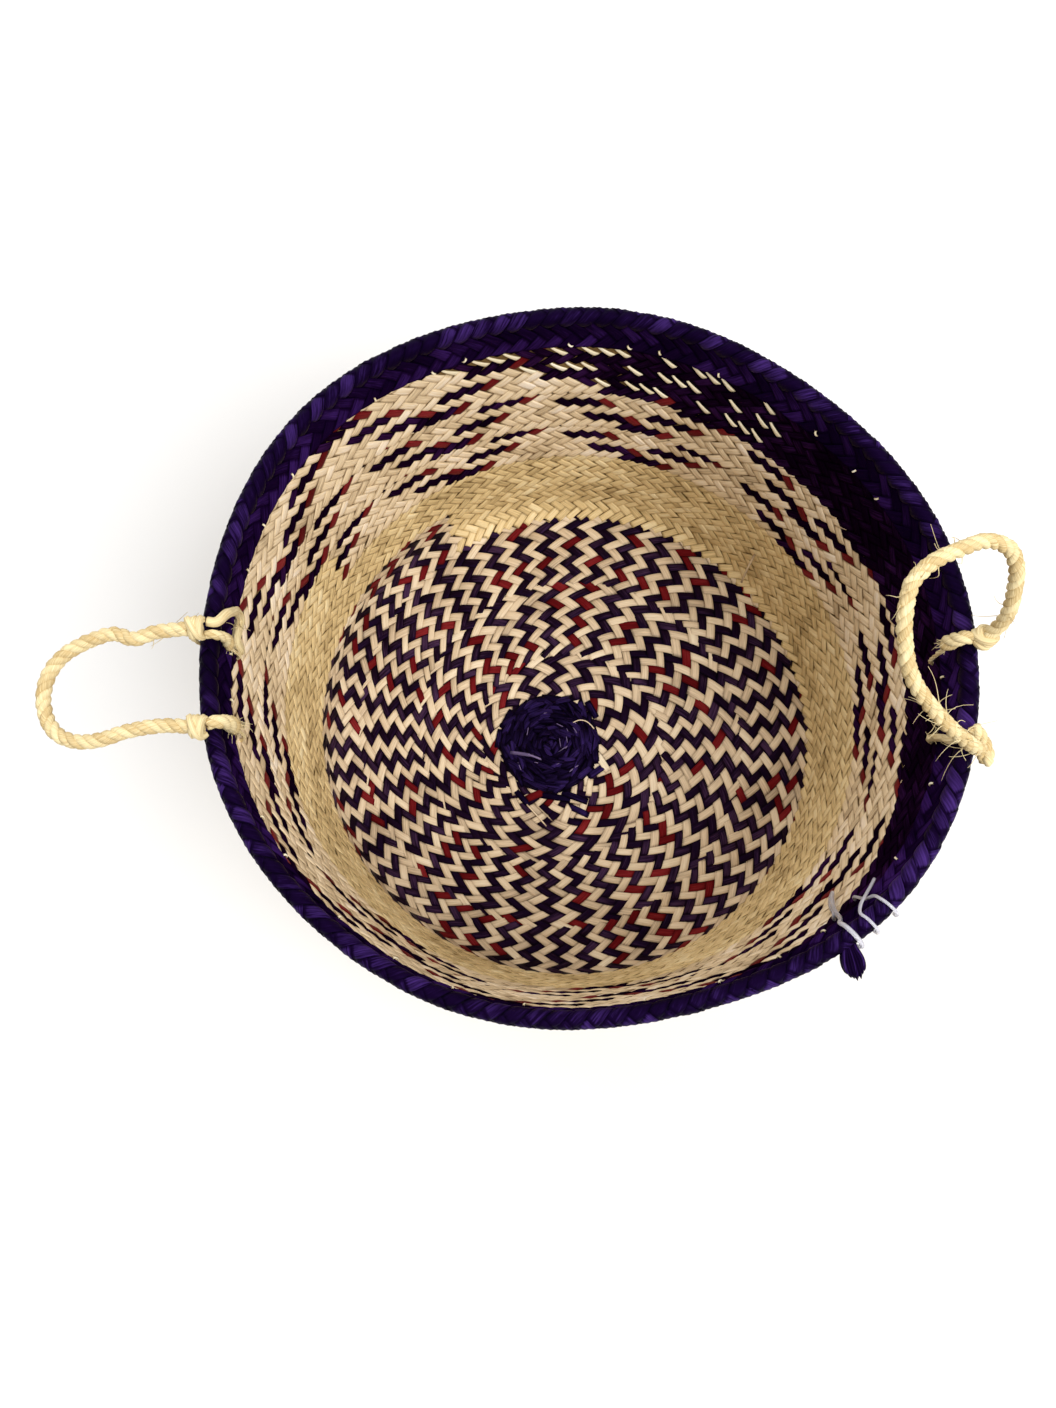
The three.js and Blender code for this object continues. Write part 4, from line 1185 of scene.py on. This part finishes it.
# %% A thread on the coil and a straw on the wall
COIL_THREAD = ((2.3, 3.5, 5.6), (6, 4.8, 6.4), (10, 4.2, 6.6), (13, 2, 6.2), (15.1, -0.4, 5.4))
THREAD_RADIUS, THREAD_CORNERS, THREAD_TONE = 0.35, 6, 1
STRAW_ENDS, STRAW_INWARDS, STRAW_WIDTH = ((146.5, 40.25), (186, 41.5)), 4.2, 1.3
STRAW_FACING = (-1.0, -0.85, 0.1)
thread_line = smooth_path(np.array(COIL_THREAD) * MM, MM)
add_tube(slivers, thread_line, THREAD_RADIUS * MM, THREAD_CORNERS, THREAD_TONE, NATURAL)
straw_low, straw_high = (place(arc, angle, STRAW_INWARDS) for arc, angle in STRAW_ENDS)
straw_out = unit(np.array(STRAW_FACING))
straw_across = np.cross(straw_out, unit(straw_high - straw_low))
add_loose_strips(slivers, (straw_low + straw_high)[None] / 2,
                 (straw_high - straw_low)[None] / STRIP_OVERRUN,
                 straw_across[None] * STRAW_WIDTH * MM, straw_out[None], NATURAL)
slivers.piece("coil_loose_strips", BOSS_LEAVES, "basket", "patterned_palm")

# %% [markdown]
# ## Sewing
#
# A palm strand sews each turn to the one before. Outside it shows as short slanted stitches in the seam,
# and inside only where it comes through under the rim, as pale specks.

# %% Stitches
STITCH_SPACING = 8.5
STITCH_LEAN = 32
STITCH_RISE = 0.8
STITCH_SIZE = (8.5, 2.4)
# Turns at the first and the last stitch of the plaits and of the rim
FIRST_STITCH, LAST_STITCH, RIM_STITCHES = 0.5, 6.94, (0.004, 0.996)
RIM_STITCH_DEPTH = -2.1
# Directions on the bowl are taken from places this far on either side
PROBE = 0.2
SPECKS, SPECK_SIZE, SPECK_DEPTH, SPECK_LEANS = 30, (2.7, 0.9), 3.0, (40, 140)
SPECK_SHIFT, SPECK_RISE, SPECK_SPREAD = 0.4, 1, 1.3


def add_stitches(mesh, turns, arc, inwards, lean, size, kinds):
    """Stitches across a seam, on the inner face where inwards is positive."""
    angle = angle_at(turns)
    at = lambda up, ahead, deep: place(arc + up, angle + ahead, inwards + deep)
    climb, ahead, deeper = (unit(at(*step) - at(*-step)) for step in PROBE * np.eye(3))
    out = deeper * np.sign(np.broadcast_to(inwards, len(turns)))[:, None]
    lean = np.broadcast_to(np.radians(lean), len(turns))[:, None]
    along = size[0] * (np.cos(lean) * ahead + np.sin(lean) * climb)
    across = size[1] * (np.cos(lean) * climb - np.sin(lean) * ahead)
    add_loose_strips(mesh, at(0, 0, 0), along * MM, across * MM, out, kinds)


def turns_along(first, last):
    """Turns at even distances along the seam."""
    runs = np.interp([first, last], spiral_turns, spiral_run)
    return np.interp(np.arange(*runs, STITCH_SPACING), spiral_run, spiral_turns)


for stitch_name, first_turn, last_turn in (
        ("base", FIRST_STITCH, PATTERN_END), ("wall", PATTERN_END, LAST_STITCH)):
    stitches = Mesh()
    stitch_turns = turns_along(first_turn, last_turn)
    stitch_arcs = seam(stitch_turns)
    stitch_depths = -face_lift(stitch_arcs, False) - STITCH_RISE
    add_stitches(stitches, stitch_turns, stitch_arcs, stitch_depths, STITCH_LEAN, STITCH_SIZE, NATURAL)
    stitches.piece(f"{stitch_name}_stitches", WOVEN, "basket", "natural_palm",
                   [f"{stitch_name}_sewing_strand"])
rim_stitches = Mesh()
rim_turns = np.arange(*RIM_STITCHES, STITCH_SPACING / (2 * math.pi * RIM_RADIUS))
add_stitches(rim_stitches, rim_turns, np.full(len(rim_turns), rim_seam), RIM_STITCH_DEPTH, STITCH_LEAN,
             STITCH_SIZE, PURPLE)
speck_turns = (np.arange(SPECKS) + rng.uniform(-SPECK_SHIFT, SPECK_SHIFT, SPECKS)) / SPECKS
speck_arcs = rim_seam + SPECK_RISE + rng.normal(0, SPECK_SPREAD, SPECKS)
add_stitches(rim_stitches, speck_turns, speck_arcs, SPECK_DEPTH, rng.uniform(*SPECK_LEANS, SPECKS),
             SPECK_SIZE, SLIVER)
rim_stitches.piece("rim_stitches", WOVEN_RIM, "basket", "purple_palm", ["rim_sewing_strand"])

# %% [markdown]
# ## Knots and eyes
#
# The rope's ends are knotted on the rim, and strands or rope ends run from each knot over the rim,
# through the wall and back. A knot is two wraps of loose fibre drawn tight round the rope, and one that
# crosses them. An eye is either such a bundle all the way, or a rope's end that stops blunt and frays,
# from which only a thin strand goes on through the wall.

# %% Knots
KNOT_WRAPS, KNOT_WRAP_RADIUS, KNOT_HALF_LENGTH = 2, 3.4 * MM, 2.5 * MM
KNOT_BUNDLE, KNOT_CROSSING = 3.6 * MM, 3.3 * MM
WRAP_STEPS, CROSSING_STEPS = 70, 40
CROSSING_GAP, CROSSING_BULGE, CROSSING_OVERRUN = 0.3 * MM, 0.5 * MM, 1.2
CROSSING_START, CROSSING_SWEEP = 0.4, 3.6


def add_knot(mesh, middle, axis):
    """Wraps drawn tight round the rope, and one turn that crosses over them."""
    side = unit(np.cross(axis, (0, 0, 1)))
    up = np.cross(side, axis)
    ring = lambda lean: np.cos(lean)[:, None] * side + np.sin(lean)[:, None] * up
    wrap = np.linspace(-1, 1, WRAP_STEPS)
    wraps = (middle + wrap[:, None] * KNOT_HALF_LENGTH * axis
             + KNOT_WRAP_RADIUS * ring(math.pi * KNOT_WRAPS * wrap))
    add_bundle(mesh, wraps, KNOT_BUNDLE)
    share = np.linspace(0, 1, CROSSING_STEPS)
    reach = (KNOT_WRAP_RADIUS + CROSSING_GAP + CROSSING_BULGE * np.sin(math.pi * share))[:, None]
    crossing = (middle + (1 - 2 * share)[:, None] * KNOT_HALF_LENGTH * CROSSING_OVERRUN * axis
                + reach * ring(CROSSING_START + CROSSING_SWEEP * share))
    add_bundle(mesh, crossing, KNOT_CROSSING)


# The right front knot shows only the rope's folded end
FOLD = ((-0.5, 1.5, 0.5), (0.8, -2.5, 0), (1.8, -4.5, 0), (2.4, -2.5, -0.3), (2, 2, -0.5),
        (0.5, 6, -0.5), (-2, 10, -0.5))
FOLD_DIAMETER = 0.9 * ROPE_DIAMETER
KNOT_AXIS_STEPS = 8
for handle_side, rope_line in handle_lines.items():
    for end, from_knot in (("rear", rope_line), ("front", rope_line[::-1])):
        knot = Mesh()
        knot_middle = middle_of(f"{handle_side}_{end}_knot")
        if (handle_side, end) == ("right", "front"):
            add_rope(knot, smooth_path(knot_middle + np.array(FOLD) * MM, ROPE_STEP), FOLD_DIAMETER)
        else:
            add_knot(knot, knot_middle, unit(from_knot[KNOT_AXIS_STEPS] - from_knot[0]))
        knot.piece(f"{handle_side}_{end}_knot_tied", [SISAL], f"{handle_side}_handle", "sisal_rope",
                   [f"{handle_side}_{end}_knot"])

# %% Routes of the eyes
KNOT_RADIUS, KNOT_LEAN = 5.5, 15
FIT_GAP, FACET_DIP, HOLE_DROP, HOLE_CLEARANCE = 0.4, 0.6, 8, 1.8
# Where the two legs leave the knot, in degrees, and how deep their roots lie in it
EYE_INNER_START, EYE_OUTER_START, EYE_ROOT = -15, -125, 1.7
# For each handle: its middle in degrees, the millimetres between its knots, and which way its rear lies
HANDLE_ANGLES = {"left": (185.8, 42.4, -1), "right": (-8.2, 48.4, 1)}
# For each eye: its handle, its end (1 rear, -1 front), its thickness, its way along the rim at the knot,
# its drops below the rim with its ways there, and its way at the hole
EYES = [
    ("left_rear_eye_upper", "left", 1, 4.0, 3.2,
     ((1.1, 8.6), (8.4, 12), (15.1, 14.6), (23.3, 13.2), (22.6, 7.2), (22.4, 2.2)), -0.5),
    ("left_rear_eye_lower", "left", 1, 4.0, -2.5, ((4.6, -1.9), (13.4, -3.7)), -3.5),
    ("left_front_eye", "left", -1, 5.6, 0.5, ((4.2, 0.6), (13, 0.4)), -1),
    ("right_rear_eye", "right", 1, 5.6, 0, ((4.2, 0), (13, -1)), -2),
    ("right_front_eye", "right", -1, 3.2, 3, ((4.2, 3), (13, 6)), 9),
]
knot_lift = RIM_ROLL_RADIUS + KNOT_RADIUS + FIT_GAP
knot_level = rim_top - RIM_ROLL_RADIUS + knot_lift * math.cos(math.radians(KNOT_LEAN))
knot_inwards = -knot_lift * math.sin(math.radians(KNOT_LEAN))
hole_level = rim_seam - HOLE_DROP


def along_rim(distance, angle):
    """Degrees for a distance along the rim."""
    radius = np.linalg.norm(place(rim_top, angle, 0)[:2]) / MM
    return math.degrees(distance / radius)


def eye_points(side, end, diameter, leave, inner_steps, hole):
    """From the inner side of the knot down inside the rim, out through the wall and up again."""
    middle, spacing, sign = HANDLE_ANGLES[side]
    knot_angle = middle + sign * end * along_rim(spacing / 2, middle)
    half = diameter / 2
    clear_of_roll = RIM_ROLL_RADIUS + half + FIT_GAP + FACET_DIP
    clear_of_wall = HALF_PLAIT + half + FIT_GAP + FACET_DIP
    outer_steps = ((RIM_ROLL_RADIUS, leave), (RIM_SHOULDER, (leave + hole) / 2))

    def at(level, way, inwards):
        return place(level, knot_angle + sign * along_rim(way, knot_angle), inwards)

    def leg(face, start, steps):
        lean = math.radians(start)
        from_knot = [KNOT_RADIUS + FIT_GAP + reach for reach in (-EYE_ROOT, half)]
        points = [at(knot_level + reach * math.sin(lean), leave, knot_inwards + reach * math.cos(lean))
                  for reach in from_knot]
        for drop, way in steps:
            clear = np.interp(drop, (RIM_ROLL_RADIUS, 2 * RIM_SHOULDER - RIM_ROLL_RADIUS),
                              (clear_of_roll, clear_of_wall))
            points.append(at(rim_top - drop, way, face * clear))
        return points + [at(hole_level + half + HOLE_CLEARANCE, hole, face * clear_of_wall)]

    through = [at(hole_level, hole, face * (HALF_PLAIT + FIT_GAP)) for face in (1, -1)]
    inner_leg, outer_leg = leg(1, EYE_INNER_START, inner_steps), leg(-1, EYE_OUTER_START, outer_steps)
    return inner_leg + through + outer_leg[::-1], through[0]


print("eyes:", len(EYES), "with holes", round(rim_top - hole_level, 1), "mm below the rim's top")

# %% [markdown]
# ## Loose fibres
#
# Sisal frays: fibres stand out where a rope ends blunt, and along a handle where hands have rubbed it. A
# hair system could draw them, but only meshes go on to the library, so each fibre is a thin tube that
# curls and tapers.

# %% One loose fibre
FIBRE_CORNERS, FIBRE_STEPS, FIBRE_TONES = 3, 8, (0.5, 1)
FIBRE_RADIUS, FIBRE_ROOT_SIZE, FIBRE_TAPER = 0.2 * MM, 1.2, 0.7


def add_fibres(mesh, starts, ways, lengths, curl):
    """Thin fibres that leave a rope and curl, each tapering to its end."""
    share = np.linspace(0, 1, FIBRE_STEPS)[:, None]
    for start, way, length in zip(starts, unit(ways), lengths):
        bend, twist = rng.normal(0, curl, (2, 3))
        line = start + length * (share * way + share**2 * bend + (share**3 - share**2) * twist)
        radius = FIBRE_RADIUS * (FIBRE_ROOT_SIZE - FIBRE_TAPER * share[:, 0])
        add_tube(mesh, line, radius, FIBRE_CORNERS, rng.uniform(*FIBRE_TONES))


# %% Eyes with frayed ends
# For each eye: how far its thick part reaches from the knot, its fibres there and the fibres' length
FRAYED = {
    "left_front_eye": (20, 40, 6), "right_rear_eye": (15, 40, 4), "left_rear_eye_upper": (0, 12, 8),
    "left_rear_eye_lower": (20, 14, 5), "right_front_eye": (0, 14, 9),
}
THIN_EYE = 1.9
BLUNT_SWELL, BLUNT_LAY, THIN_LAY, BLUNT_OVERLAP = 1.4, 14 * MM, 11 * MM, 4
# Where the fibres of a blunt end start and which way they go
FRAY_SPREAD, FRAY_BACK, FRAY_INWARDS, FRAY_WAY_SPREAD = 1 / 5, 1.5 * MM, 0.35, 0.4
FRAY_LENGTHS, FRAY_CURL = (0.6, 1.4), 0.25


def add_eye(mesh, line, diameter, blunt):
    """A rope along the line; where it ends blunt, only a thin strand goes on. Gives the frayed place."""
    run = run_along(line) / MM
    if blunt == 0:
        add_bundle(mesh, line, diameter)
        # A bundle frays inside, before it reaches the hole
        return line[len(line) * 2 // 5], UP
    thick, thin = line[run < blunt], line[run > blunt - BLUNT_OVERLAP]
    add_rope(mesh, thick, diameter * np.linspace(1, BLUNT_SWELL, len(thick)), BLUNT_LAY)
    add_rope(mesh, thin, THIN_EYE * MM, THIN_LAY)
    return thick[-1], unit(thick[-1] - thick[-6])


for eye_name, eye_side, eye_end, eye_diameter, *eye_way in EYES:
    eye_route, hole_place = eye_points(eye_side, eye_end, eye_diameter, *eye_way)
    blunt_at, fibres, fibre_length = FRAYED[eye_name]
    eye = Mesh()
    frayed_at, fray_way = add_eye(eye, smooth_path(eye_route, ROPE_STEP), eye_diameter * MM, blunt_at)
    inwards = unit(-hole_place * (1, 1, 0))
    strays = rng.normal(0, eye_diameter * FRAY_SPREAD, (fibres, 3)) * MM
    fibre_starts = frayed_at + strays - FRAY_BACK * fray_way
    fibre_ways = fray_way + FRAY_INWARDS * inwards + rng.normal(0, FRAY_WAY_SPREAD, (fibres, 3))
    fibre_lengths = rng.uniform(*FRAY_LENGTHS, fibres) * fibre_length
    add_fibres(eye, fibre_starts, fibre_ways, fibre_lengths * MM, FRAY_CURL)
    eye.piece(f"{eye_name}_rope", [SISAL], "basket", "sisal_rope", [eye_name])

# %% Loose fibres along the handles
# For each handle: how many fibres leave which part of the rope, counted from its rear knot
HANDLE_FIBRES = {"left": [(4, 0.02, 0.14)],
                 "right": [(8, 0.04, 0.12), (14, 0.36, 0.62), (40, 0.72, 0.99)]}
# How much of a fibre's way leads to the basket's mouth, along the rope and up
FIBRE_TO_MOUTH, FIBRE_ALONG, FIBRE_UP, FIBRE_CURL = 0.7, 0.9, 0.1, 0.6
FIBRE_ROOT, FIBRE_LENGTHS, FIBRE_LENGTH_DRAW = 0.42, (3, 11), (3, 2.2)
for handle_side, groups in HANDLE_FIBRES.items():
    rope_line = handle_lines[handle_side]
    shares = np.concatenate([rng.uniform(first, last, fibres) for fibres, first, last in groups])
    picks = (shares * (len(rope_line) - 1)).astype(int)
    tangent = unit(np.gradient(rope_line, axis=0))[picks]
    to_mouth = unit(-rope_line[picks] * (1, 1, 0))
    sideways = unit(np.cross(tangent, rng.normal(0, 1, (len(picks), 3))))
    fibre_starts = rope_line[picks] + sideways * ROPE_DIAMETER * FIBRE_ROOT
    way_along = rng.choice((-FIBRE_ALONG, FIBRE_ALONG), (len(picks), 1))
    fibre_ways = sideways + FIBRE_TO_MOUTH * to_mouth + tangent * way_along + FIBRE_UP * UP
    loose_fibres = Mesh()
    fibre_lengths = rng.gamma(*FIBRE_LENGTH_DRAW, len(picks)).clip(*FIBRE_LENGTHS)
    add_fibres(loose_fibres, fibre_starts, fibre_ways, fibre_lengths * MM, FIBRE_CURL)
    loose_fibres.piece(f"{handle_side}_rope_fibres", [SISAL], f"{handle_side}_handle", "sisal_rope")

# %% [markdown]
# ## The tail and the tag loops
#
# The rim plait ends in a short bundle of its own strips, which stands out at the front right. Beside it
# two clear plastic loops, left over from a tag, go round the rim.

# %% The tail of the rim plait
TAIL_ANGLE, TAIL_WAY, TAIL_LENGTH, TAIL_WIDTH = 309.5, 284, 12.6, 8
# For each layer: its strips, its height and its share of the length
TAIL_LAYERS = ((7, 1.3, 1), (6, -0.2, 0.9), (7, -1.6, 1))
TAIL_STEPS, TAIL_CORNERS, TAIL_STRIP_RADIUS = 12, 8, 0.85 * MM
TAIL_ROOT, TAIL_ROUNDING, TAIL_LENGTH_SPREAD = -0.15, 0.9, (0.94, 1.04)
TAIL_WAIST, TAIL_BULGE, BULGE_TURN = 0.62, 0.36, 0.8
TAIL_THICK, TAIL_THINNING, TIP_SIZE, TIP_ROUNDING = 1.1, 0.5, 1.02, 6
tail_root = place(rim_top - RIM_ROLL_RADIUS, TAIL_ANGLE, -RIM_ROLL_RADIUS) / MM
tail_out, tail_side = level_directions(math.radians(TAIL_WAY))
tail = Mesh()
for strips_in_layer, level, reach in TAIL_LAYERS:
    for sideways in np.linspace(-0.5, 0.5, strips_in_layer):
        length = TAIL_LENGTH * reach * (1 - TAIL_ROUNDING * sideways**2)
        length *= rng.uniform(*TAIL_LENGTH_SPREAD)
        share = np.linspace(TAIL_ROOT, 1, TAIL_STEPS)[:, None]
        bulge = TAIL_WAIST + TAIL_BULGE * np.sin(math.pi * share.clip(0, 1) * BULGE_TURN)
        tail_line = (tail_root + length * share * tail_out + sideways * TAIL_WIDTH * bulge * tail_side
                     + level * (TAIL_THICK - TAIL_THINNING * share**3) * UP)
        tail_radius = TAIL_STRIP_RADIUS * np.sqrt(TIP_SIZE - share[:, 0].clip(0, 1) ** TIP_ROUNDING)
        add_tube(tail, tail_line * MM, tail_radius, TAIL_CORNERS, rng.uniform(0, 1), PURPLE)
tail.piece("rim_tail_strips", WOVEN_RIM, "basket", "purple_palm", ["rim_plait_tail"])

# %% Tag loops
TAG_BAND, TAG_THREAD, TAG_CORNERS, TAG_STEP, TAG_TONE = 2.0, 1.4, 12, 0.8 * MM, 0.5
ROLL_LEVEL = rim_top - RIM_ROLL_RADIUS


def over_rim(angle, diameter, leans):
    """Places over the rim's roll: 0 degrees is its inner side, 90 its top and 180 its outer side."""
    reach = RIM_ROLL_RADIUS + diameter / 2 + FIT_GAP + FACET_DIP
    return [(ROLL_LEVEL + reach * math.sin(lean), angle, reach * math.cos(lean))
            for lean in map(math.radians, leans)]


band_off, thread_off = (HALF_PLAIT + d / 2 + 3 * FIT_GAP + FACET_DIP for d in (TAG_BAND, TAG_THREAD))
# A route's points are millimetres along the bowl's outline, degrees round it and millimetres inwards
band_route = [
    (ROLL_LEVEL - 7, 310.6, -6), *over_rim(311, TAG_BAND, (180, 150, 120, 90, 60, 30, 0)),
    (ROLL_LEVEL - 9, 312.2, 5.3), (306, 314.2, band_off + 1.2), (292, 316.4, band_off + 1.6),
    (285, 317.6, band_off + 1), (285, 316.8, band_off), (296, 314.8, band_off),
    (hole_level + 2.8, 313.3, band_off), (hole_level, 313, 1.9), (hole_level, 313, -1.9),
    (hole_level + 2.8, 313, -band_off), (ROLL_LEVEL - 11, 313, -5.6),
]
thread_route = [
    (321, 320.8, 6.6), (324.5, 319.2, 6.8), (328, 317.4, 6.8), (333, 315.3, 6.6),
    *over_rim(314, TAG_THREAD, (30, 60, 90, 120, 150, 180)),
    (ROLL_LEVEL - 9, 314.6, -5), (hole_level + 2.5, 317, -thread_off), (hole_level, 317.5, -1.9),
    (hole_level, 317.5, 1.9), (hole_level + 2.5, 317.5, thread_off), (ROLL_LEVEL - 9, 317.2, 4.8),
    *over_rim(317.6, TAG_THREAD, (0, 30, 60, 90, 120, 150, 180)), (ROLL_LEVEL - 5, 318, -6.4),
]
for tag_name, tag_route, tag_diameter in (
        ("tag_loop_band", band_route, TAG_BAND), ("tag_loop_thread", thread_route, TAG_THREAD)):
    tag_line = smooth_path([place(*spot) for spot in tag_route], TAG_STEP)
    tag = Mesh()
    add_tube(tag, tag_line, tag_diameter / 2 * MM, TAG_CORNERS, TAG_TONE)
    tag.piece(f"{tag_name}_clear", [CLEAR], "basket", "clear_plastic", [tag_name])

# %% [markdown]
# ## Size
#
# The dressed basket must keep to the size of the solids, so both boxes are written down side by side.

# %% Sizes
visual_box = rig.bounds()
for box_name, (low, high) in (("solids", cad_box), ("dressed", visual_box)):
    print(box_name, "box:", [round((b - a) / MM, 1) for a, b in zip(low, high)], "mm")
with open("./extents.json", "w") as sizes:
    json.dump({"cad": [list(corner) for corner in cad_box],
               "visual": [list(corner) for corner in visual_box]}, sizes)
